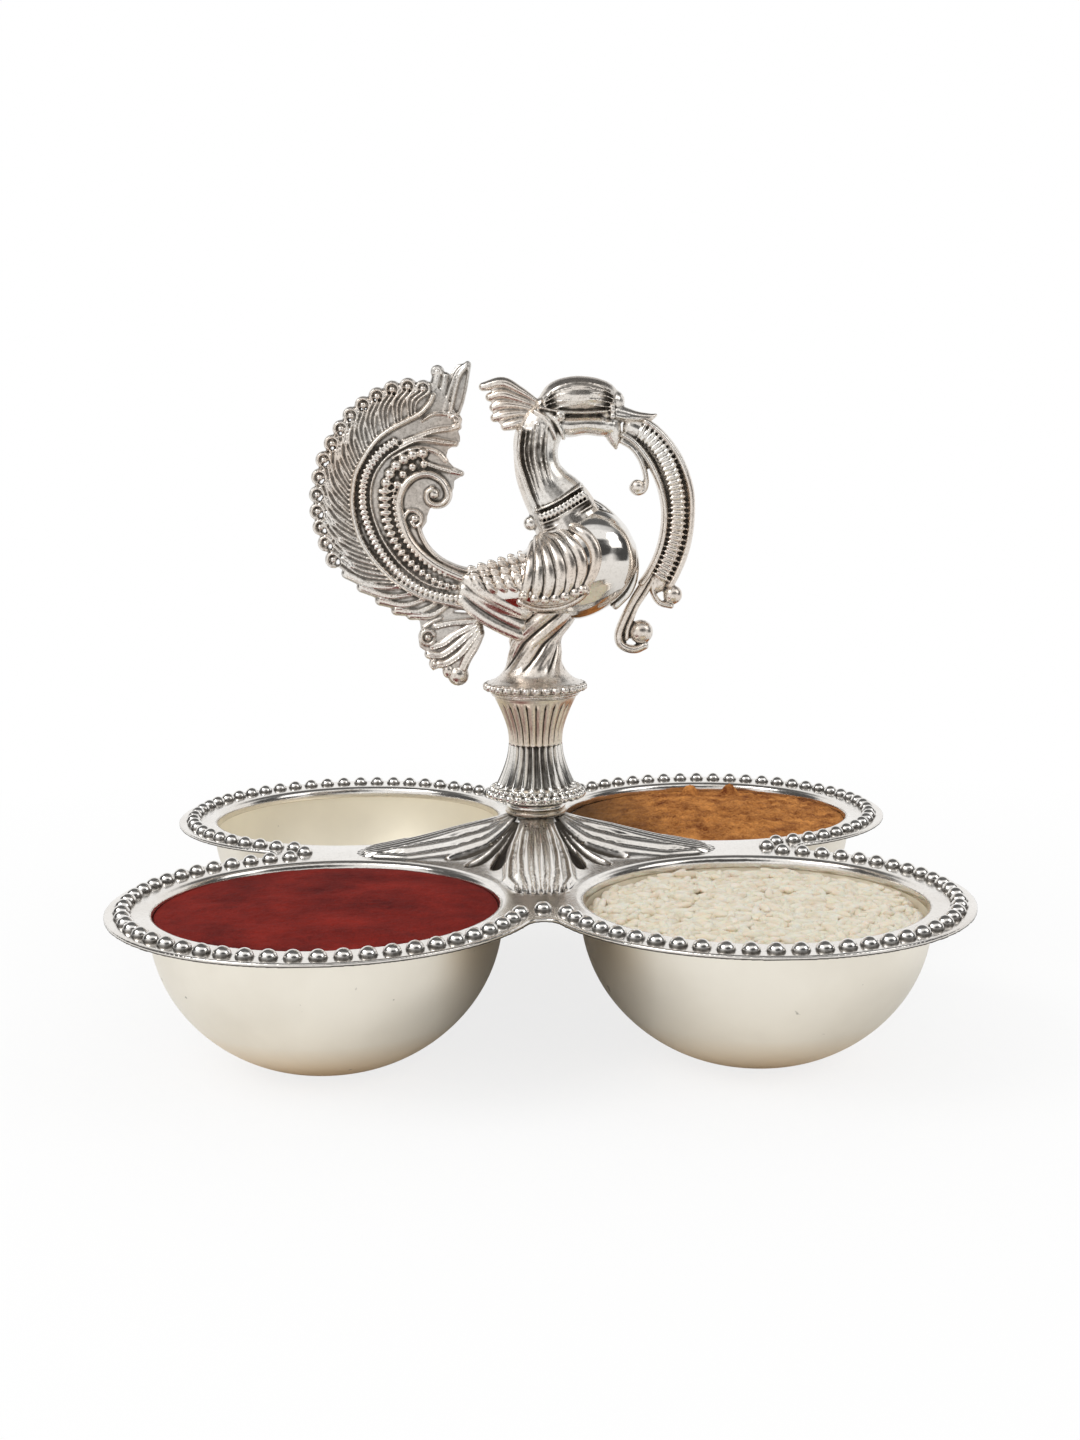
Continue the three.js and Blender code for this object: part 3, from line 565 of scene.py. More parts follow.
turmeric = heap("turmeric_heap", (BOWL_CENTRE, BOWL_CENTRE), turmeric_level,
                lambda x, y: 0.5 * fractal(x, y, 3.4, 5.7) + 0.4 * fractal(x, y, 0.9, 1.3, 3),
                TURMERIC_BASE)
# The turmeric gets painted shade on its side toward the stem.
fit(turmeric, powder("turmeric_orange", (0.8, 0.345, 0.095, 1), (0.17, 0.045, 0.012, 1), 2200.0,
                     240.0, 0.9), "turmeric", "turmeric_powder")

RICE_COUNT = 2600
GRAIN_LENGTH = 5.2
GRAIN_WIDTH = 1.75
RICE_DROP = 3.3
RICE_BASE = 18.0
ALONG_WALL = 3.4


def rice_level(x, y):
    """A bed with shallow drifts that run round it."""
    out = math.hypot(x, y) / COLLAR_INNER
    drift = math.cos(8 * math.atan2(y, x)) * math.cos(3 * math.pi * out)
    return PLATE_TOP - RICE_DROP + 0.6 * (1 - out ** 2) + 0.35 * drift


def grain_shells():
    """Grains strewn over a bed, each with its own length, lie and tilt."""
    rng = np.random.default_rng(11)
    angle = np.arange(8) / 8 * TURN
    along = np.array([-1, -0.86, -0.45, 0.0, 0.45, 0.86, 1])[:, None]
    thick = np.array([0.12, 0.6, 0.95, 1.0, 0.93, 0.58, 0.1])[:, None]
    grains = []
    for _ in range(RICE_COUNT):
        radius = (COLLAR_INNER - 1.2) * math.sqrt(rng.random())
        turn = rng.random() * TURN
        x, y = radius * math.cos(turn), radius * math.sin(turn)
        length = GRAIN_LENGTH * rng.uniform(0.6, 1.08) / 2
        width = GRAIN_WIDTH * rng.uniform(0.85, 1.1) / 2
        heading = rng.random() * math.pi
        if radius > COLLAR_INNER - ALONG_WALL:
            heading = turn + math.pi / 2 + rng.normal(0, 0.12)
        tilt = rng.normal(0, 0.16)
        z = rice_level(x, y) + rng.uniform(-0.75, 0.55)
        forward, side = along * length * math.cos(tilt), width * thick * np.cos(angle)
        points = grid(BOWL_CENTRE + x + forward * math.cos(heading) - side * math.sin(heading),
                      -BOWL_CENTRE + y + forward * math.sin(heading) + side * math.cos(heading),
                      z + along * length * math.sin(tilt) + width * 0.85 * thick * np.sin(angle))
        grains.append((points, loft_faces(len(along), 8)))
    return grains


def raw_rice(name):
    """Raw rice: chalky cream, slightly waxy, each grain a little different."""
    material, tree, place = bare_finish(name)
    lone = node(tree, "NewGeometry").outputs["Random Per Island"]
    chalk = clouds(tree, place, 500.0)
    tone = blend(tree, lone, (0.71, 0.6, 0.45, 1), (0.84, 0.75, 0.59, 1))
    colour = blend(tree, span(tree, chalk, 0.4, 0.7), tone, (0.83, 0.77, 0.67, 1))
    bump = node(tree, "Bump", Strength=0.3, Distance=0.0001, Height=chalk)
    surfaced(tree, Base_Color=colour, Roughness=0.5, Normal=bump.outputs[0],
             Subsurface_Weight=0.15, Subsurface_Scale=0.001)
    return material


rice_cream = raw_rice("rice_cream")
rice_bed = heap("rice_bed", (BOWL_CENTRE, -BOWL_CENTRE), lambda x, y: rice_level(x, y) - 0.9,
                lambda x, y: 0.4 * fractal(x, y, 2.0, 7.7), RICE_BASE)
fit(rice_bed, rice_cream, "rice", "rice_grains")
rice = body_from("rice_loose", grain_shells())
fit(rice, rice_cream, "rice", "rice_grains")

# ---- stem
# Four cast and turned pieces threaded on a rod: a neck ring, a beaded collar, the
# waisted stem with its flutes and ribs, and a plain ring under the bird.
STEM_FLUTES = 24
STEM_WAIST = 21.0
FLUTE_DEPTH = 1.0
RIB_DEPTH = 0.5
COLLAR_BEADS = 30


def above(z):
    """Height over the table of a height over the plate."""
    return PLATE_TOP + z


def eased(points, steps):
    """A smooth curve through points of any number of values, with even steps."""
    points = np.asarray(points, float)
    ends = np.vstack([2 * points[0] - points[1], points, 2 * points[-1] - points[-2]])
    span = np.linspace(0, len(points) - 1, steps)
    i = np.minimum(span.astype(int), len(points) - 2)
    t = (span - i)[:, None]
    a, b, c, d = ends[i], ends[i + 1], ends[i + 2], ends[i + 3]
    return 0.5 * (2 * b + (c - a) * t + (2 * a - 5 * b + 4 * c - d) * t ** 2
                  + (3 * b - a - 3 * c + d) * t ** 3)


def turned(profile, steps, shape=None):
    """A profile over the plate, turned round the stem's axis."""
    return spun([(r, above(z)) for r, z in profile], steps, shape=shape)


def studs_round(count, radius, z, size):
    """A row of beads round the stem's axis."""
    lift = np.linspace(-1, 1, 9) * math.pi / 2 * 0.98
    profile = [(size * math.cos(a), above(z) + size * math.sin(a)) for a in lift]
    return [spun(profile, 14, centre)
            for centre in arc((0, 0), radius, [(k + 0.5) / count * TURN for k in range(count)])]


neck_profile = [(2.0, 7.3), (5.1, 7.3), (5.6, 7.5), (5.9, 7.9), (5.7, 8.4), (5.3, 8.65),
                (2.0, 8.65)]
neck = body_from("neck_ring_turned", [turned(neck_profile, 96)])
mark_hollows(neck, 2, 0.1)
dark_silver = silver("collar_silver", (0.72, 0.66, 0.58, 1), (0.52, 0.43, 0.33, 1), 0.24)
fit(neck, dark_silver, "silver_handle", "neck_ring")

collar_profile = eased([(1.9, 8.7), (5.3, 8.7), (5.6, 9.2), (5.4, 9.8), (6.9, 10.1), (7.4, 10.45),
                        (7.1, 10.8), (8.3, 11.0), (8.7, 11.5), (8.6, 12.0), (8.2, 12.4),
                        (7.3, 12.55), (1.9, 12.55)], 80)
collar = cast("foot_collar_cast", [turned(collar_profile, 120)]
              + studs_round(COLLAR_BEADS, 8.8, 11.45, 0.84)
              + studs_round(COLLAR_BEADS + 6, 8.35, 12.4, 0.5), 0.15, soften=1)
mark_hollows(collar, 12, 0.07)
stem_silver = silver("stem_silver", (0.86, 0.84, 0.8, 1), (0.74, 0.7, 0.65, 1), 0.12)
fit(collar, stem_silver, "silver_handle", "foot_collar")


def fluted(radius, height, angle):
    """Sinks the stem's wall between its ribs."""
    wave = np.where(height > above(STEM_WAIST), np.abs(np.sin(angle * STEM_FLUTES / 2)) ** 0.7,
                    1 - np.abs(np.cos(angle * STEM_FLUTES / 2)) ** 1.2)
    top = np.clip((above(29.6) - height) / 1.2, 0, 1)
    foot = np.clip((height - above(12.7)) / 0.7, 0, 1)
    depth = np.where(height > above(STEM_WAIST), RIB_DEPTH, FLUTE_DEPTH) * top * foot
    return np.where(radius > 4, radius - depth * (1 - wave), radius), height


stem_wall = eased([(7.75, 12.6), (7.6, 13.1), (6.9, 14.6), (6.1, 16.6), (5.5, 18.6), (5.2, 20.6),
                   (5.15, 22.0), (5.4, 24.0), (6.1, 26.2), (7.0, 28.4), (7.6, 29.6),
                   (7.85, 30.2)], 110)
stem_profile = [(1.9, 12.6), *stem_wall, (1.9, 30.25)]
stem = body_from("stem_fluted", [turned(stem_profile, STEM_FLUTES * 20, fluted)])
place, hollow = mark_hollows(stem, 14, 0.045)
set_hollows(stem, hollow * np.where(place[:, 2] > above(STEM_WAIST), 1, 0.85))
fit(stem, stem_silver, "silver_handle", "stem")
stem.data.materials.append(silver("stem_matt_silver", (0.93, 0.87, 0.77, 1),
                                  (0.8, 0.7, 0.58, 1), 0.34, grain=0.3))
for face in stem.data.polygons:
    face.material_index = int(face.center.z > above(21.2) * MM)

cap_profile = eased([(1.9, 30.35), (7.6, 30.35), (8.2, 30.5), (8.5, 30.85), (8.2, 31.2),
                     (7.7, 31.35), (1.9, 31.35)], 40)
cap = body_from("cap_ring_turned", [turned(cap_profile, 96)])
mark_hollows(cap, 3, 0.1)
handle_silver = silver("handle_silver", (0.84, 0.81, 0.765, 1), (0.78, 0.68, 0.59, 1), 0.22,
                       grain=0.45)
fit(cap, handle_silver, "silver_handle", "cap_ring")

# ---- bird's pedestal
# A cast flange with a row of beads, and twisted leaves that gather under the
# bird; bored and threaded for the rod.
LEAF_TURNS = 7
LEAF_TWIST = 2.0
LEAF_DEPTH = 1.05
LEAN_FROM = 40.5
LEAN = 0.42

pedestal_wall = eased([(7.6, 31.4), (8.9, 31.6), (9.3, 32.2), (8.9, 32.9), (7.6, 33.5),
                       (6.3, 34.6), (5.2, 36.2), (4.6, 38.2), (4.4, 40.2), (4.7, 42.4),
                       (5.2, 44.6), (5.4, 46.5)], 70)


def leaning(radius, height, angle):
    """Twists the leaves round the pedestal."""
    up = np.clip((height - above(33.6)) / 12.5, 0, 1)
    twist = (angle - up * LEAF_TWIST + 0.5) * LEAF_TURNS / 2
    wave = np.abs(np.sin(twist)) ** 0.6 + 0.22 * np.abs(np.sin(twist * 3))
    depth = LEAF_DEPTH * np.clip(up * 3.0 - 0.2, 0, 1)
    return np.where(radius > 3, radius + depth * (wave - 0.55), radius), height


pedestal_shell = turned([(1.9, 31.4), *pedestal_wall, (1.9, 46.6)], 240, leaning)
pedestal_shell[0][:, 0] += np.maximum(pedestal_shell[0][:, 2] - above(LEAN_FROM), 0) * LEAN
pedestal_beads = studs_round(COLLAR_BEADS, 9.25, 32.1, 0.78)
pedestal = cast("pedestal_cast", [pedestal_shell] + pedestal_beads, 0.18)
mark_hollows(pedestal, 14, 0.05)
pedestal_silver = silver("pedestal_silver", (0.85, 0.81, 0.76, 1), (0.76, 0.66, 0.57, 1), 0.24,
                         grain=0.6)
fit(pedestal, pedestal_silver, "silver_handle", "bird_pedestal")

# ---- bird's body
# A smooth cast breast, polished bright, with a raised band down its front.
BODY = [(-12.6, 52.0, 2.6, 2.4), (-8.0, 50.6, 4.6, 4.6), (-2.5, 51.2, 6.3, 6.8),
        (3.5, 53.2, 8.2, 8.1), (8.6, 55.2, 10.4, 8.6), (13.2, 56.0, 9.4, 8.0),
        (17.0, 56.2, 6.6, 5.8), (19.3, 56.2, 2.6, 2.4)]
CAST_VOXEL = 0.17
CAST_ROUNDS = 12
KEEL = [(10.6, 67.0), (13.2, 65.4), (15.8, 62.9), (17.8, 60.0), (19.0, 56.6), (19.0, 53.0),
        (17.8, 49.8), (15.4, 47.2)]


def tube(points, steps=40, sides=14, flip=1):
    """A closed limb in the bird's plane: each point is (x, z, half height, half
    depth[, y]). Its ends are rounded, and z is over the plate."""
    line = eased([tuple(p) + (0.0,) * (5 - len(p)) for p in points], steps)
    line[:, 2:4] = np.maximum(line[:, 2:4], 0.05)
    along = np.gradient(line[:, [0, 4, 1]], axis=0)
    along /= np.maximum(np.linalg.norm(along, axis=1), 1e-9)[:, None]

    def row(i, shift, scale):
        centre = np.array([line[i, 0], flip * line[i, 4], above(line[i, 1])])
        t = along[i] * np.array([1, flip, 1])
        up = np.array([-t[2], 0, t[0]])
        up /= max(np.linalg.norm(up), 1e-9)
        a = np.arange(sides) / sides * TURN
        return (centre + t * shift + up * (np.cos(a) * line[i, 2] * scale)[:, None]
                + np.cross(t, up) * (np.sin(a) * line[i, 3] * scale)[:, None])

    ends = (0.45, 0.8, 0.98)
    rows = [row(0, -line[0, 2] * k, math.sqrt(1 - k * k)) for k in ends[::-1]]
    rows += [row(i, 0.0, 1.0) for i in range(steps)]
    rows += [row(steps - 1, line[-1, 2] * k, math.sqrt(1 - k * k)) for k in ends]
    return np.vstack(rows), loft_faces(len(rows), sides)


def plain(line, high, deep, steps=40, sides=14):
    """A rail of even height and depth along a line in the bird's plane."""
    return tube([(x, z, high, deep) for x, z in line], steps, sides)


def handle_piece(solid, shells, soften, depth, voxel=CAST_VOXEL, rounds=CAST_ROUNDS,
                 finish=handle_silver):
    """A casting of the handle, dark in its hollows, in place of its solid."""
    made = cast(solid + "_cast", shells, voxel, soften)
    marks = mark_hollows(made, rounds, depth)
    fit(made, finish, "silver_handle", solid)
    return made, marks


def breast():
    """The body's shell, from upright sections along the bird."""
    x, z, high, deep = eased(BODY, 60).T[:, :, None]
    angle = np.arange(40) / 40 * TURN
    return grid(x, deep * np.sin(angle), above(z) + high * np.cos(angle)), loft_faces(60, 40)


mirror_silver = silver("mirror_silver", (0.86, 0.84, 0.81, 1), (0.78, 0.74, 0.69, 1), 0.07,
                       dents=0.00003)
handle_piece("bird_body", [breast(), plain(KEEL, 0.8, 1.7, 50)], 6, 0.08, 0.22, 14,
             mirror_silver)

# ---- bird's neck and head
# Neck with long ridges and a slanted beaded collar, a smooth cap, the cheek
# under it, and the two bills; cast in one with the body on the real piece.
NECK = [(6.8, 62.5, 6.6, 5.6), (4.6, 66.5, 6.0, 4.8), (2.4, 69.6, 5.0, 4.0), (1.0, 72.4, 4.4, 3.6),
        (0.5, 75.4, 4.15, 3.4), (0.7, 78.4, 4.3, 3.5), (1.9, 81.2, 4.2, 3.6), (3.4, 83.0, 3.4, 3.5)]
CAP = [(1.9, 84.9, 1.6, 2.2), (4.2, 85.9, 3.1, 3.6), (7.0, 86.4, 3.6, 4.2), (10.2, 86.5, 3.5, 4.2),
       (13.2, 86.0, 3.1, 3.5), (15.0, 85.4, 2.2, 2.6)]
CHEEK = [(3.6, 81.6, 1.6, 3.3), (6.4, 81.0, 2.2, 3.6), (9.6, 81.2, 2.0, 3.4),
         (12.6, 81.0, 2.1, 2.9), (14.2, 80.8, 1.9, 2.3)]
LOWER_BILL = [(14.4, 81.6, 2.0, 2.0), (14.9, 79.6, 1.7, 1.7), (15.3, 77.8, 1.0, 1.1),
              (15.5, 76.8, 0.35, 0.5)]
UPPER_BILL = [(13.8, 83.6, 2.0, 2.8), (16.6, 83.0, 1.55, 2.2), (19.4, 82.5, 1.05, 1.5),
              (21.8, 82.4, 0.75, 0.95), (23.0, 82.8, 0.3, 0.4)]
NECK_RIDGES = (((-2.4, 80.2), (-2.8, 76.9), (-2.6, 74.2), (-1.8, 71.5), (-0.7, 68.2), (0.6, 65.4)),
               ((0.7, 81.2), (0.2, 76.9), (0.4, 74.2), (1.2, 71.4), (2.6, 68.7), (4.1, 66.6)))
COLLAR_LINE = ((0.9, 64.2), (3.0, 64.9), (5.4, 66.1), (7.6, 67.5), (9.6, 68.7))


def lump(x, z, rx, rz, ry, y=0.0, turn=0.0):
    """A rounded bead or boss at a place in the bird's plane."""
    lift = (np.linspace(-1, 1, 12) * math.pi / 2 * 0.985)[:, None]
    angle = np.arange(16) / 16 * TURN
    dome = min(rx, rz, ry)
    px, pz = rx * np.cos(lift) * np.cos(angle), rz * np.cos(lift) * np.sin(angle)
    return (grid(x + px * math.cos(turn) - pz * math.sin(turn),
                 y + dome * np.sin(lift) + np.copysign(ry - dome, lift),
                 above(z) + px * math.sin(turn) + pz * math.cos(turn)), loft_faces(12, 16))


def measured(line, steps):
    """A smooth path along a line, and the share of its length at each point."""
    path = eased(line, steps)
    gone = np.concatenate([[0], np.cumsum(np.hypot(*np.diff(path, axis=0).T))])
    return path, gone / gone[-1]


def studs(line, count, along, across, deep, start=0.0, end=1.0):
    """A row of beads along a line in the bird's plane; sizes may grow along it."""
    path, gone = measured(line, 200)
    shells = []
    for k in range(count):
        s = start + (end - start) * (k + 0.5) / count
        x, z = (np.interp(s, gone, path[:, c]) for c in (0, 1))
        ahead = [np.interp(min(s + 0.01, 1), gone, path[:, c])
                 - np.interp(max(s - 0.01, 0), gone, path[:, c]) for c in (0, 1)]
        size = [np.interp(s, (0, 1), v) if isinstance(v, tuple) else v
                for v in (along, across, deep)]
        shells.append(lump(x, z, *size, turn=math.atan2(ahead[1], ahead[0])))
    return shells


head = [tube(NECK, 60, 26), tube(CAP, 40, 24), tube(CHEEK, 30, 20), tube(LOWER_BILL, 20, 14),
        tube(UPPER_BILL, 30, 16)]
for line in NECK_RIDGES:
    head.append(plain(line, 0.75, 3.95, 40, 20))
    for off in (1.15, 1.95):
        head.append(plain([(x + off, z) for x, z in line], 0.22, 3.95, 40, 12))
head.append(plain(NECK_RIDGES[0], 0.45, 3.6, 40, 20))
for off, deep in ((-1.9, 3.7), (-0.8, 4.2), (0.4, 4.25), (1.5, 4.05), (2.4, 3.3)):
    comb = [(x, z + off * high / 3.6) for x, z, high, _ in CAP]
    head.append(plain(comb, 0.22, deep - 0.06, 40, 12))
head.append(plain([(1.2, 84.3), (4.6, 83.6), (8.6, 83.3), (13.6, 83.5)], 0.5, 4.35, 40, 24))
for lift in (-1.5, 1.3, 2.7):
    rail = [(x + lift * 0.45, z + lift * -0.85) for x, z in COLLAR_LINE]
    head.append(plain(rail, 0.42, 5.6 - lift * 0.12, 40, 28))
head += studs(COLLAR_LINE, 12, 0.4, 0.8, 5.75)
for y in (-1, 1):
    head += [lump(5.0, 82.6, 0.95, 0.95, 0.7, y * 3.75),
             lump(5.0, 82.6, 0.45, 0.45, 1.15, y * 3.75)]
    head += [lump(14.7, z, 0.55, 0.55, 0.8, y * 2.75) for z in (84.8, 83.7, 82.6)]
    head.append(tube([(15.2, 82.6, 0.3, 0.4, 2.1), (18.6, 82.1, 0.25, 0.35, 1.5),
                      (21.6, 82.0, 0.2, 0.3, 0.8)], 24, 10, y))
    for shift in (0.0, 1.5):
        head.append(tube([(0.4 + shift, 83.6, 0.45, 0.6, 2.6), (2.4 + shift, 82.2, 0.5, 0.7, 3.3),
                          (3.6 + shift, 80.2, 0.4, 0.6, 3.1), (4.2 + shift, 78.6, 0.3, 0.4, 2.7)],
                         24, 10, y))
head.append(lump(-0.6, 62.9, 1.35, 1.35, 2.2))
handle_piece("bird_head", head, 3, 0.11)

# ---- crest
# A fan of five rounded ribs behind the head, cast on with it.
CREST_RIBS = (((0.6, 85.6), (-2.4, 87.4), (-5.6, 88.9), (-9.2, 88.2)),
              ((0.4, 84.8), (-2.8, 86.0), (-5.6, 86.8), (-8.0, 86.3)),
              ((0.2, 84.0), (-2.8, 84.7), (-5.6, 84.9), (-7.3, 84.4)),
              ((0.2, 83.2), (-2.6, 83.3), (-5.2, 83.0), (-7.1, 82.5)),
              ((0.4, 82.4), (-1.8, 81.9), (-3.8, 81.3), (-5.2, 80.9)))
CREST_WIDTHS = ((0.5, 1.5), (0.9, 1.75), (1.12, 1.75), (0.85, 1.3))
CREST_WEB = [(0.8, 86.0), (-2.4, 87.9), (-5.6, 89.3), (-8.4, 88.9), (-7.5, 87.4), (-7.7, 85.8),
             (-7.4, 84.4), (-7.3, 82.8), (-6.0, 81.2), (-4.4, 80.6), (-1.8, 81.2), (0.6, 81.8)]


def slab(outline, deep):
    """A flat web of metal inside an outline in the bird's plane."""
    return prism([outline], (-deep, deep), lambda x, z, y: (x, y, above(z)))


crest = [slab(CREST_WEB, 1.0)]
for rib in CREST_RIBS:
    crest.append(tube([p + w for p, w in zip(rib, CREST_WIDTHS)], 30, 16))
handle_piece("bird_crest", crest, 2, 0.15)

# ---- wings
# On each flank curved flutes fan from the shoulder and end in round knobs,
# with small feathers behind them and long smooth primaries below.
FLUTES = (((2.3, 62.3), (5.3, 62.5), (8.3, 61.8), (10.4, 59.7), (11.2, 57.0), (10.6, 54.0),
           (8.8, 51.0)),
          ((2.2, 61.7), (5.0, 61.3), (7.0, 59.4), (8.4, 57.0), (8.6, 54.3), (7.4, 50.4)),
          ((1.9, 61.1), (4.2, 60.1), (5.8, 58.2), (6.7, 55.6), (6.5, 52.8), (5.5, 49.8)),
          ((1.6, 60.6), (3.0, 59.2), (4.2, 56.8), (4.8, 54.3), (4.6, 51.6), (3.7, 49.3)),
          ((1.2, 60.2), (1.9, 58.4), (2.5, 56.0), (2.8, 53.6), (2.5, 51.2), (1.8, 49.1)),
          ((0.6, 59.8), (0.7, 57.8), (0.9, 55.4), (0.7, 53.0), (0.4, 51.1), (-0.1, 49.3)),
          ((-0.2, 58.8), (-0.6, 56.6), (-0.9, 54.4), (-1.4, 52.3), (-2.2, 49.8)))
PRIMARIES = (((-12.4, 52.6), (-9.7, 50.6), (-6.0, 48.6), (-2.4, 46.8)),
             ((-13.0, 50.6), (-9.8, 48.2), (-6.3, 46.0), (-2.7, 44.2)),
             ((-13.4, 48.9), (-11.3, 46.8), (-8.6, 44.9), (-5.5, 43.3), (-2.9, 42.2)))
PRIMARY_REACH = (3.4, 4.0, 3.8)
FEATHER_ROWS = 4
FEATHERS = 6
WING_EDGE = ((-2.9, 48.6), (-0.3, 47.6), (2.1, 47.3), (5.2, 47.7), (7.9, 49.0), (9.6, 50.6))


def flank(x, z):
    """How far the body's side stands out at a place."""
    line = np.array(BODY)
    middle, high, deep = (np.interp(x, line[:, 0], line[:, k]) for k in (1, 2, 3))
    return deep * math.sqrt(max(0.06, 1 - ((z - middle) / high) ** 2))


for wing_name, y in (("wing_right", -1), ("wing_left", 1)):
    shells = []
    for line in FLUTES:
        rise = np.linspace(0, 1, len(line))
        path = [(x, z, 0.45 + 0.72 * math.sin(math.pi * (0.12 + 0.72 * s)), 1.0,
                 flank(x, z) + 0.2) for (x, z), s in zip(line, rise)]
        x, z = line[-1]
        shells += [tube(path, flip=y), lump(x, z, 0.95, 0.95, 1.0, y * (flank(x, z) + 0.75))]
    for row in range(FEATHER_ROWS):
        for col in range(FEATHERS):
            x = -11.4 + col * 1.9 + row * 0.5
            z = 53.9 + col * 0.5 - row * (0.95 + col * 0.12)
            out = y * (flank(x, z) + 0.25)
            shells += [lump(x, z, 1.5, 0.85, 0.45, out, -0.7),
                       lump(x + 0.3, z - 0.2, 1.0, 0.2, 0.62, out, -0.7)]
    for out, line in zip(PRIMARY_REACH, PRIMARIES):
        path = [(x, z, 1.3, 1.0, max(flank(x, z) * 0.9, out * (0.55 + 0.45 * i / len(line))))
                for i, (x, z) in enumerate(line)]
        shells.append(tube(path, flip=y))
    path = [(x, z, 0.6, 0.8, flank(x, z) + 0.2) for x, z in WING_EDGE]
    shells += [tube(path, 40, 12, y),
               tube([(-12.0, 51.0, 2.6, 1.6, 1.6), (-7.0, 48.6, 2.6, 2.2, 2.4),
                     (-2.0, 47.0, 2.4, 2.4, 3.0)], 24, 16, y)]
    handle_piece(wing_name, shells, 2, 0.07)

# ---- tail
# A crescent of feathers with curled tips on a smooth midrib; inside it a rope
# band, a row of growing beads and a rail that ends in a scroll; leaves on top.
MIDRIB = [(-11.8, 46.9), (-15.2, 47.9), (-18.5, 48.6), (-21.7, 49.7), (-23.9, 50.9), (-26.0, 52.3),
          (-27.8, 53.9), (-29.7, 56.0), (-31.3, 58.2), (-32.5, 60.5), (-33.2, 62.8), (-33.7, 65.5),
          (-33.8, 67.7), (-33.6, 69.8), (-33.1, 72.3), (-31.9, 74.7), (-30.3, 77.1), (-28.4, 79.2),
          (-26.0, 80.8), (-23.4, 82.1), (-20.9, 83.4), (-19.4, 84.9), (-18.5, 86.6)]
ROPE = [(-13.2, 48.9), (-16.3, 49.2), (-19.3, 49.9), (-22.1, 51.2), (-25.1, 53.5), (-27.6, 56.3),
        (-29.7, 59.6), (-31.1, 63.1), (-31.8, 66.0), (-31.9, 68.9), (-31.5, 71.3), (-30.8, 73.1),
        (-29.6, 75.0), (-27.8, 76.9), (-25.2, 78.5)]
PEARLS = [(-14.4, 51.1), (-17.1, 51.7), (-20.4, 53.5), (-23.8, 56.5), (-26.0, 59.6), (-27.3, 63.0),
          (-27.8, 66.6), (-27.8, 69.8), (-26.2, 73.2), (-23.0, 75.6), (-19.6, 76.2)]
INNER_RAIL = [(-12.6, 52.6), (-14.8, 53.4), (-18.4, 55.2), (-21.4, 57.6), (-23.4, 60.2),
              (-24.5, 63.0), (-25.1, 65.6), (-25.1, 67.8), (-24.3, 69.8), (-23.0, 71.3),
              (-21.2, 72.2), (-19.2, 72.2), (-17.4, 71.3), (-16.3, 69.8), (-16.0, 68.2),
              (-16.8, 66.9), (-18.4, 66.5), (-19.7, 67.3), (-19.9, 68.7), (-18.9, 69.6)]
INNER_EDGE = [(-12.4, 54.2), (-15.0, 55.0), (-17.8, 56.5), (-20.0, 58.7), (-21.2, 61.0),
              (-21.6, 62.6)]
SMALL_SCROLL = [(-24.3, 62.4), (-24.2, 64.2), (-23.4, 65.4), (-22.1, 65.4), (-21.1, 64.5),
                (-21.2, 63.2), (-22.2, 62.6), (-22.9, 63.3)]
TIPS = [(-23.3, 45.9), (-26.1, 46.8), (-29.1, 48.7), (-32.5, 51.2), (-35.3, 53.8), (-37.6, 56.5),
        (-38.9, 59.6), (-39.8, 62.6), (-40.3, 65.5), (-40.3, 68.6), (-39.8, 71.8), (-38.9, 75.0),
        (-37.3, 78.0), (-35.6, 80.7), (-33.7, 83.1), (-31.4, 85.0), (-28.8, 86.6), (-26.0, 87.8),
        (-23.1, 88.3), (-20.3, 87.9)]
RIM = [(-14.1, 45.9), (-17.9, 45.4), (-21.7, 44.8), (-23.9, 45.7), (-26.9, 46.8), (-28.4, 48.0),
       (-29.9, 48.8), (-31.8, 50.1), (-32.7, 51.2), (-33.8, 52.6), (-35.5, 53.3), (-36.5, 54.9),
       (-37.4, 56.4), (-38.3, 57.9), (-39.0, 59.8), (-39.6, 61.6), (-40.1, 63.9), (-40.1, 68.0),
       (-39.8, 71.3), (-39.0, 74.6), (-37.8, 76.8), (-36.5, 79.8), (-34.9, 82.3), (-32.5, 84.5),
       (-29.8, 85.5), (-27.2, 86.8), (-24.6, 87.7), (-22.0, 88.1), (-19.4, 88.2), (-17.5, 88.8)]
INNER_RIM = [(-13.9, 82.9), (-13.4, 82.9), (-13.1, 82.2), (-13.6, 81.1), (-14.1, 80.5),
             (-13.6, 79.2), (-13.6, 78.2), (-14.7, 77.6), (-15.9, 76.7), (-16.2, 75.5),
             (-15.7, 74.4), (-14.6, 73.3), (-13.2, 72.7), (-13.4, 71.8), (-14.8, 71.0),
             (-14.9, 69.6), (-15.6, 68.1), (-17.2, 66.8), (-19.4, 65.9), (-20.0, 64.4),
             (-20.1, 63.3), (-21.4, 61.5), (-21.2, 59.6), (-19.9, 57.7), (-17.7, 56.0),
             (-15.1, 54.6), (-12.5, 53.7), (-10.0, 52.0), (-10.0, 46.5)]
TOP_LEAF = [(-11.4, 92.7), (-11.6, 90.6), (-12.2, 87.6), (-13.1, 84.5), (-13.9, 82.9),
            (-17.3, 82.9), (-16.8, 85.5), (-15.9, 88.0), (-15.2, 90.6), (-13.8, 92.3)]
LOW_LEAF = [(-10.3, 45.9), (-10.6, 41.3), (-11.5, 39.0), (-12.4, 37.3), (-12.7, 35.6),
            (-14.7, 33.3), (-16.5, 34.9), (-18.0, 36.3), (-19.3, 35.3), (-19.9, 36.1),
            (-19.9, 37.8), (-20.6, 39.0), (-21.8, 39.9), (-22.0, 41.5), (-21.5, 43.2),
            (-21.7, 44.8), (-17.9, 46.6)]
FEATHER_FOOT = 0.07
FEATHER_HEAD = 0.9
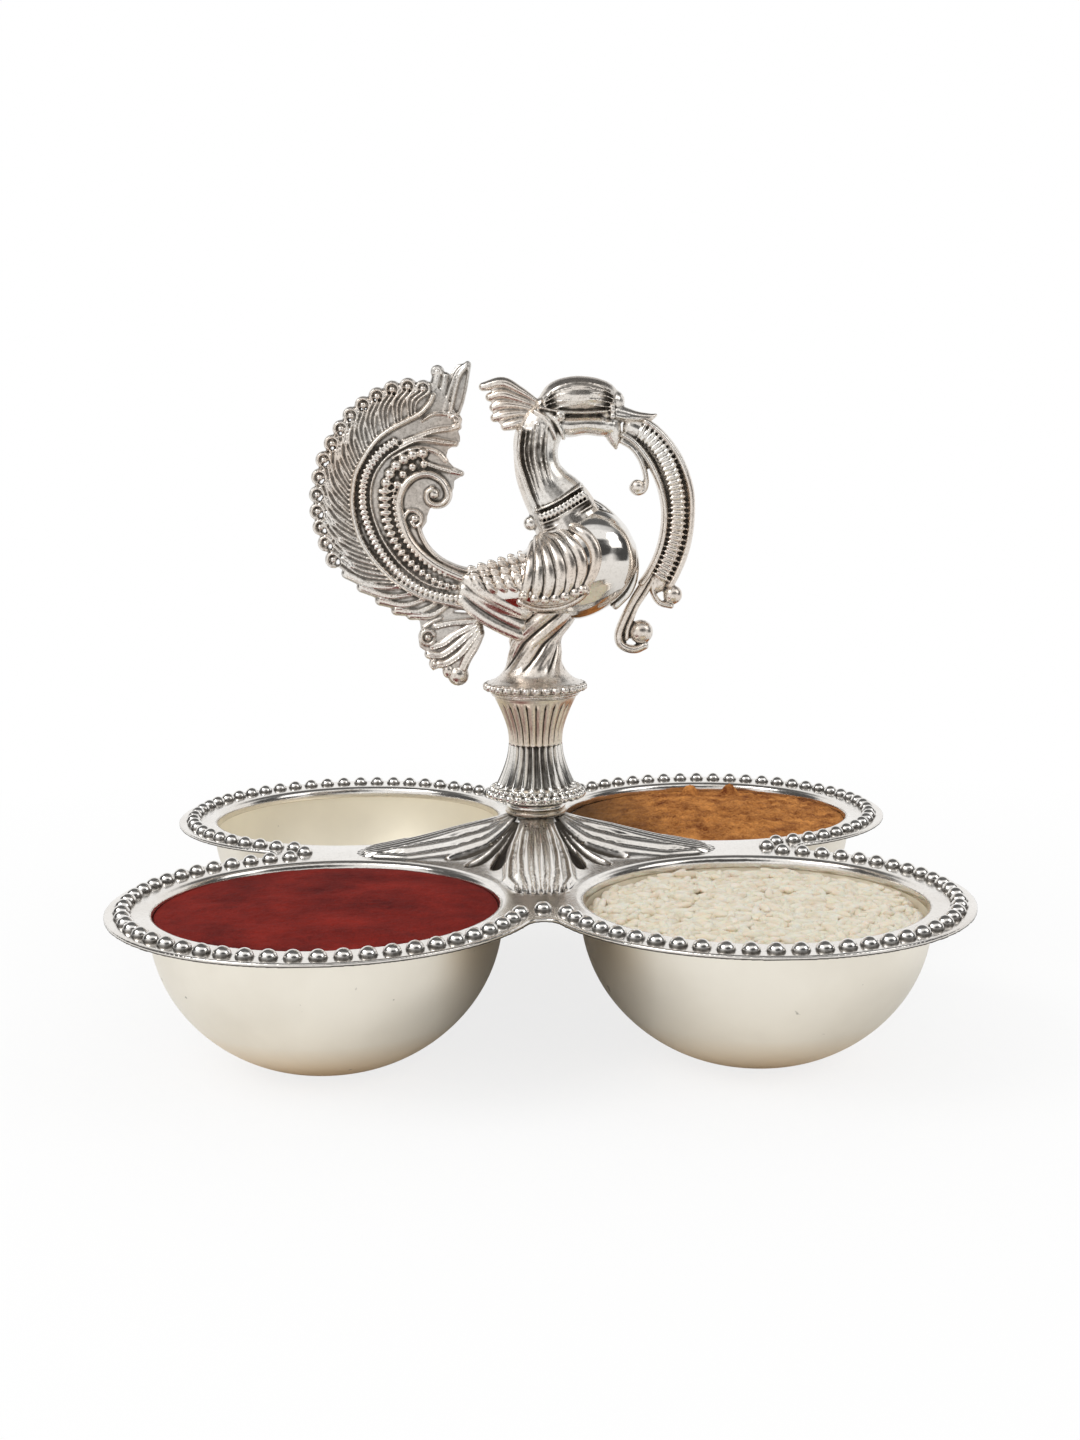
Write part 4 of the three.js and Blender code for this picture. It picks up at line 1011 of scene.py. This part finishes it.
BLADES = 5
TAIL_MIDDLE = (-22.0, 67.0)


def beside(line, off):
    """A line that runs alongside another at a distance."""
    line = np.array(line, float)
    ahead = np.gradient(line, axis=0)
    ahead /= np.linalg.norm(ahead, axis=1)[:, None]
    return [tuple(p) for p in line + off * np.stack([-ahead[:, 1], ahead[:, 0]], 1)]


def curl(x, z, radius, heading, high, deep, sweep=2.1):
    """A feather's curled end: a rail bent round a small ball."""
    angle = heading + np.linspace(sweep, -sweep, 9)
    line = [(x + radius * math.cos(a), z + radius * math.sin(a), high, deep) for a in angle]
    return [tube(line, 26, 10), lump(x, z, radius * 0.5, radius * 0.5, deep + 0.1)]


def leaf(line, wide, deep, veins):
    """A pointed leaf with raised veins along it."""
    shares = np.linspace(0, 1, len(line))
    widths = [wide * (0.3 + 0.7 * math.sin(math.pi * (0.1 + 0.72 * s))) for s in shares]
    shells = [tube([(x, z, w, deep) for (x, z), w in zip(line, widths)], 34, 14)]
    for k in range(veins):
        off = wide * ((k + 0.5) / veins - 0.5) * 1.1
        shells.append(plain(beside(line, off)[:-1], 0.2, deep + 0.22, 28, 8))
    return shells


tail = [slab(beside(RIM, -0.9) + INNER_RIM, 1.35), slab(TOP_LEAF, 0.85), slab(LOW_LEAF, 1.3),
        plain(MIDRIB, 0.72, 2.35, 90), plain(INNER_EDGE, 0.5, 2.1, 40, 12),
        tube([(x, z, h, 2.3) for (x, z), h in zip(INNER_RAIL, np.linspace(1.25, 0.7, 20))], 110),
        plain(SMALL_SCROLL, 0.6, 1.9, 50, 12),
        lump(-18.6, 68.6, 1.1, 1.1, 2.1), lump(-22.3, 64.0, 0.8, 0.8, 2.0)]
rib_path, rib_gone = measured(MIDRIB, 300)
for k, (tx, tz) in enumerate(TIPS):
    s = FEATHER_FOOT + (FEATHER_HEAD - FEATHER_FOOT) * (k / (len(TIPS) - 1)) ** 1.08
    foot = np.array([np.interp(s, rib_gone, rib_path[:, c]) for c in (0, 1)])
    tip = np.array([tx, tz])
    run = tip - foot
    out = np.array([run[1], -run[0]]) / np.linalg.norm(run)
    mid = foot + run * 0.5 - out * 1.1
    if k < BLADES:
        tail += [tube([(*foot, 0.5, 1.7), (*mid, 0.85, 1.9), (*tip, 1.05, 1.8)], 24),
                 plain([foot + out * 0.3, mid + out * 0.45, tip + out * 0.5], 0.2, 2.0, 20, 8)]
        continue
    for shift in (-0.8, 0.05, 0.9):
        ridge = [(*(foot + out * shift * 0.7), 0.3, 1.7), (*(mid + out * shift), 0.4, 1.85),
                 (*(tip - run * 0.12 + out * shift), 0.38, 1.85)]
        tail.append(tube(ridge, 22, 8))
    tail += curl(tx, tz, 1.2, math.atan2(run[1], run[0]), 0.5, 1.9)
tail += [plain(beside(ROPE, -1.5)[1:], 0.36, 1.85, 80, 12), plain(ROPE, 0.75, 1.6, 80, 12)]
tail += studs(ROPE, 44, 0.47, 0.85, 2.25)
tail += studs(PEARLS[:8], 19, 0.58, (0.6, 1.3), 2.2)
tail += studs(beside(PEARLS[:8], -1.75), 19, 0.42, 0.42, 2.2, 0.1, 1.0)
tail += studs(PEARLS[7:], 6, 1.0, 1.0, 2.6)
tail += studs(beside(PEARLS[6:], -2.0)[1:], 4, 0.8, 0.8, 2.3)
for line, *size in (
        (((-24.1, 78.2), (-21.1, 79.3), (-18.1, 80.2), (-15.8, 80.5), (-13.9, 80.9)), 1.0, 1.8, 2),
        (((-24.8, 77.2), (-21.8, 78.5), (-18.8, 78.5), (-16.6, 78.1), (-14.5, 77.8)), 1.0, 1.9, 2),
        (((-26.0, 75.4), (-22.8, 76.9), (-19.6, 76.8), (-17.6, 76.0), (-16.3, 74.6)), 0.85, 1.7, 1),
        (((-20.6, 82.0), (-18.6, 83.2), (-16.6, 83.3), (-14.4, 83.2)), 0.8, 1.7, 1),
        (((-19.8, 74.2), (-17.6, 73.4), (-15.4, 72.8), (-13.5, 72.3)), 0.95, 1.7, 2)):
    tail += leaf(line, *size)
tail += curl(-14.4, 82.0, 0.85, 0.3, 0.4, 1.9) + curl(-17.6, 91.0, 0.8, 1.6, 0.5, 1.6)
tail += [tube([(-18.4, 87.2, 0.9, 1.4), (-17.9, 89.4, 1.0, 1.5), (-17.5, 90.6, 0.9, 1.5)], 16, 12),
         tube([(-16.8, 86.4, 0.8, 1.4), (-16.4, 88.6, 0.9, 1.5), (-16.1, 90.2, 0.8, 1.5)], 16, 12)]
for line, high, deep in (
        (((-16.7, 82.9), (-16.0, 85.5), (-15.1, 88.4), (-13.9, 91.0), (-12.0, 92.5)), 0.5, 1.5),
        (((-15.5, 82.9), (-14.9, 85.5), (-14.3, 88.0), (-13.6, 90.2), (-12.3, 91.9)), 0.6, 1.75),
        (((-13.9, 83.1), (-13.0, 85.5), (-12.4, 88.0), (-11.9, 90.6), (-11.6, 92.3)), 0.3, 1.3)):
    tail.append(plain(line, high, deep))
for line, wide in (
        (((-10.7, 44.9), (-13.4, 44.6), (-16.0, 44.4), (-18.8, 43.8)), 0.8),
        (((-10.9, 44.4), (-13.0, 43.3), (-15.3, 42.0), (-17.2, 40.6), (-19.3, 39.9)), 0.95),
        (((-10.7, 43.8), (-12.6, 42.2), (-14.9, 40.2), (-17.6, 38.4), (-20.0, 38.4)), 1.0),
        (((-10.6, 43.2), (-12.1, 41.0), (-14.2, 38.5), (-16.6, 36.9), (-18.2, 36.6)), 1.0),
        (((-10.5, 42.3), (-11.6, 39.8), (-12.9, 37.7), (-13.9, 35.6)), 1.1)):
    tail += [plain(line, wide, 1.85, 30, 12), plain(beside(line, wide * 0.5), 0.18, 2.05, 30, 8)]
tail += curl(-20.2, 41.7, 1.3, 3.0, 0.6, 2.0, 2.7) + curl(-19.0, 36.6, 0.75, 3.6, 0.4, 1.8)
tail += [plain([(-20.9, 43.6), (-19.4, 44.6), (-17.6, 45.4)], 0.5, 1.8, 20),
         lump(-14.6, 34.3, 2.05, 2.05, 2.1), lump(-16.5, 35.2, 1.1, 1.4, 1.8)]
tail_made, (place, hollow) = handle_piece("bird_tail", tail, 1, 0.1, 0.15, 10)
from_middle = np.hypot(place[:, 0] - TAIL_MIDDLE[0], place[:, 2] - above(TAIL_MIDDLE[1]))
ground = np.clip((1.5 - np.abs(place[:, 1])) / 0.2, 0, 0.42)
hollow = hollow * np.clip(1.45 - (from_middle - 10.5) / 4, 0.85, 1)
set_hollows(tail_made, np.maximum(hollow, ground))

# ---- plume
# A long plume from the bill: two smooth rails with a ribbed band between them,
# a curled strand with a ball on the inside and a ball at its foot.
OUTER_RAIL = [(21.0, 81.6), (23.0, 80.2), (25.2, 77.9), (27.2, 75.0), (28.6, 71.8), (29.5, 68.2),
              (29.6, 64.2), (29.2, 60.2), (28.3, 56.6), (26.9, 53.3), (25.6, 50.9)]
PLUME_BAND = [(18.6, 80.6), (20.6, 79.6), (22.8, 77.5), (24.6, 74.9), (25.9, 71.8), (26.9, 68.2),
              (27.1, 64.3), (26.8, 60.4), (25.9, 57.0), (24.5, 53.8), (23.2, 51.4)]
INNER_PLUME_RAIL = [(16.8, 79.2), (18.8, 77.9), (20.8, 75.6), (22.6, 72.6), (24.0, 69.0),
                    (24.7, 64.8), (24.4, 60.6), (23.3, 56.6), (21.7, 53.4), (20.3, 51.4)]
CURL = [(16.6, 78.0), (18.5, 76.8), (20.0, 74.8), (20.9, 72.4), (21.2, 70.3), (20.7, 68.8),
        (19.4, 68.4), (18.5, 69.3), (19.1, 70.3)]
plume = [plain(PLUME_BAND, 1.9, 1.65, 70, 16), plain(OUTER_RAIL, 0.78, 2.1, 70, 16),
         plain(INNER_PLUME_RAIL, 0.7, 2.0, 70, 16), plain(CURL, 0.55, 1.3, 60, 12),
         lump(19.5, 69.6, 1.35, 1.35, 1.75), lump(26.2, 49.2, 1.85, 1.85, 1.95),
         plain([(22.2, 51.6), (22.6, 49.4), (23.8, 47.7), (25.9, 47.1)], 0.6, 1.6, 24)]
plume += studs(PLUME_BAND, 32, 0.45, 1.6, 2.05, 0.04, 0.97)
plume += studs([(x - (x - 26) * 0.02 + 0.95, z + 0.4) for x, z in PLUME_BAND], 30,
               0.35, 0.4, 2.2, 0.05, 0.97)
handle_piece("beak_plume", plume, 2, 0.13)

# ---- breast scroll
# Two rails that leave the plume, pass the breast and curl round a bright ball.
SCROLL = [(23.0, 55.4), (21.6, 52.8), (20.2, 50.4), (18.4, 47.4), (16.9, 44.4), (16.0, 41.9),
          (16.2, 40.2), (17.4, 39.2), (19.2, 38.9), (20.9, 39.6)]
SCROLL_RAIL = [(22.6, 52.4), (21.0, 49.6), (19.4, 47.2), (18.4, 44.8), (17.6, 42.8), (17.4, 41.0)]
scroll = [plain(SCROLL, 0.85, 1.5, 60, 16), plain(SCROLL_RAIL, 0.55, 1.7),
          lump(20.2, 42.2, 2.35, 2.35, 2.45)]
handle_piece("breast_scroll", scroll, 3, 0.07)

# ---- rod, washer and nut
# A steel rod up the middle draws the handle down, with a washer and a nut
# under the plate; they keep their solids and get plated steel.
steel, tree, place = bare_finish("plated_steel")
cloud = clouds(tree, place, 300.0, 2.0)
thread = node(tree, "TexWave", bands_direction="Z", wave_profile="TRI", Vector=place,
              Scale=320.0, Distortion=0.0).outputs["Fac"]
bump = node(tree, "Bump", Strength=0.5, Distance=0.0002, Height=thread)
surfaced(tree, Metallic=1.0, Normal=bump.outputs[0],
         Base_Color=blend(tree, cloud, (0.5, 0.5, 0.5, 1), (0.66, 0.65, 0.62, 1)),
         Roughness=span(tree, cloud, 0.3, 0.7, 0.3, 0.42))
for hidden in ("tie_rod", "washer", "nut"):
    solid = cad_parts[hidden]
    solid.data.materials.clear()
    solid.data.materials.append(steel)

# ---- floor, cloths and light
# A plain white table and backdrop, two soft lamps, and four dark cloths above the
# object, at its sides and behind the camera, which only reflections show.
FLOOR_REACH = 3.0
SHADOW_END = (0.06, 0.26)
MIRRORED_FLOOR = (0.12, 0.5)
ROOM_LIGHT = 0.75
WHITE = (1, 1, 1, 1)
bpy.ops.mesh.primitive_circle_add(vertices=96, radius=FLOOR_REACH, fill_type="NGON")
floor = bpy.context.object
floor.name = "floor"
paper, tree, place = bare_finish("floor_white")
seen = node(tree, "LightPath").outputs
off = node(tree, "VectorMath", operation="LENGTH", Vector=place).outputs["Value"]
direct = sum_of(tree, "MULTIPLY", seen["Is Camera Ray"],
                span(tree, off, *SHADOW_END, 0.8, 1.0))
mirrored = sum_of(tree, "MAXIMUM", seen["Is Glossy Ray"], seen["Is Transmission Ray"])
mirrored = sum_of(tree, "MULTIPLY", mirrored, span(tree, off, *MIRRORED_FLOOR))
surfaced(tree, "MixShader", _0=sum_of(tree, "MAXIMUM", direct, mirrored),
         _1=node(tree, "BsdfDiffuse", Color=(0.93, 0.93, 0.925, 1)).outputs[0],
         _2=node(tree, "Emission", Color=WHITE, Strength=1.0).outputs[0])
floor.data.materials.append(paper)

world = bpy.data.worlds.new("studio")
bpy.context.scene.world = world
world.use_nodes = True
tree = world.node_tree
tree.nodes.clear()
seen = node(tree, "LightPath").outputs
backdrop = sum_of(tree, "MAXIMUM", seen["Is Camera Ray"], seen["Is Glossy Ray"])
backdrop = sum_of(tree, "MAXIMUM", backdrop, seen["Is Transmission Ray"])
surfaced(tree, "Background", "OutputWorld", Color=WHITE,
         Strength=span(tree, backdrop, 0, 1, ROOM_LIGHT, 1.0))


def lamp(name, place, aim, size, power):
    """A soft square lamp turned to the object."""
    data = bpy.data.lights.new(name, "AREA")
    data.shape = "RECTANGLE"
    data.size, data.size_y = size
    data.energy = power
    made = bpy.data.objects.new(name, data)
    made.location = place
    made.rotation_euler = (Vector(aim) - Vector(place)).to_track_quat("-Z", "Y").to_euler()
    bpy.context.scene.collection.objects.link(made)


lamp("key", (-0.45, -0.25, 0.55), (0, 0, 0.05), (0.4, 0.3), 1.6)
lamp("fill", (0.5, -0.2, 0.4), (0, 0, 0.05), (0.3, 0.3), 0.5)


def cloth(name, place, aim, size, shade):
    """A dark cloth with soft edges, turned to the object."""
    bpy.ops.mesh.primitive_plane_add(size=1.0, location=place)
    made = bpy.context.object
    made.name = name
    made.scale = (size[0], size[1], 1)
    made.rotation_euler = (Vector(aim) - Vector(place)).to_track_quat("Z", "Y").to_euler()
    made.visible_camera = made.visible_diffuse = False
    made.visible_shadow = made.visible_transmission = False
    weave, tree, middle = bare_finish(name)
    off = node(tree, "VectorMath", operation="LENGTH", Vector=middle).outputs["Value"]
    surfaced(tree, "MixShader", _0=span(tree, off, 0.32, 0.5, 1.0, 0.0),
             _1=node(tree, "BsdfTransparent").outputs[0],
             _2=node(tree, "Emission", Color=(shade, shade, shade, 1), Strength=1.0).outputs[0])
    made.data.materials.append(weave)


cloth("cloth_above", (0.0, 0.3, 1.0), (0, 0, 0.05), (2.8, 1.7), 0.13)
cloth("cloth_left", (-0.8, 0.1, 0.34), (0, 0, 0.09), (1.1, 1.0), 0.09)
cloth("cloth_right", (0.8, -0.1, 0.34), (0, 0, 0.09), (1.1, 1.0), 0.07)
cloth("cloth_camera", (0.2, -0.47, 0.28), (0.1, 0, 0.07), (0.9, 0.44), 0.07)
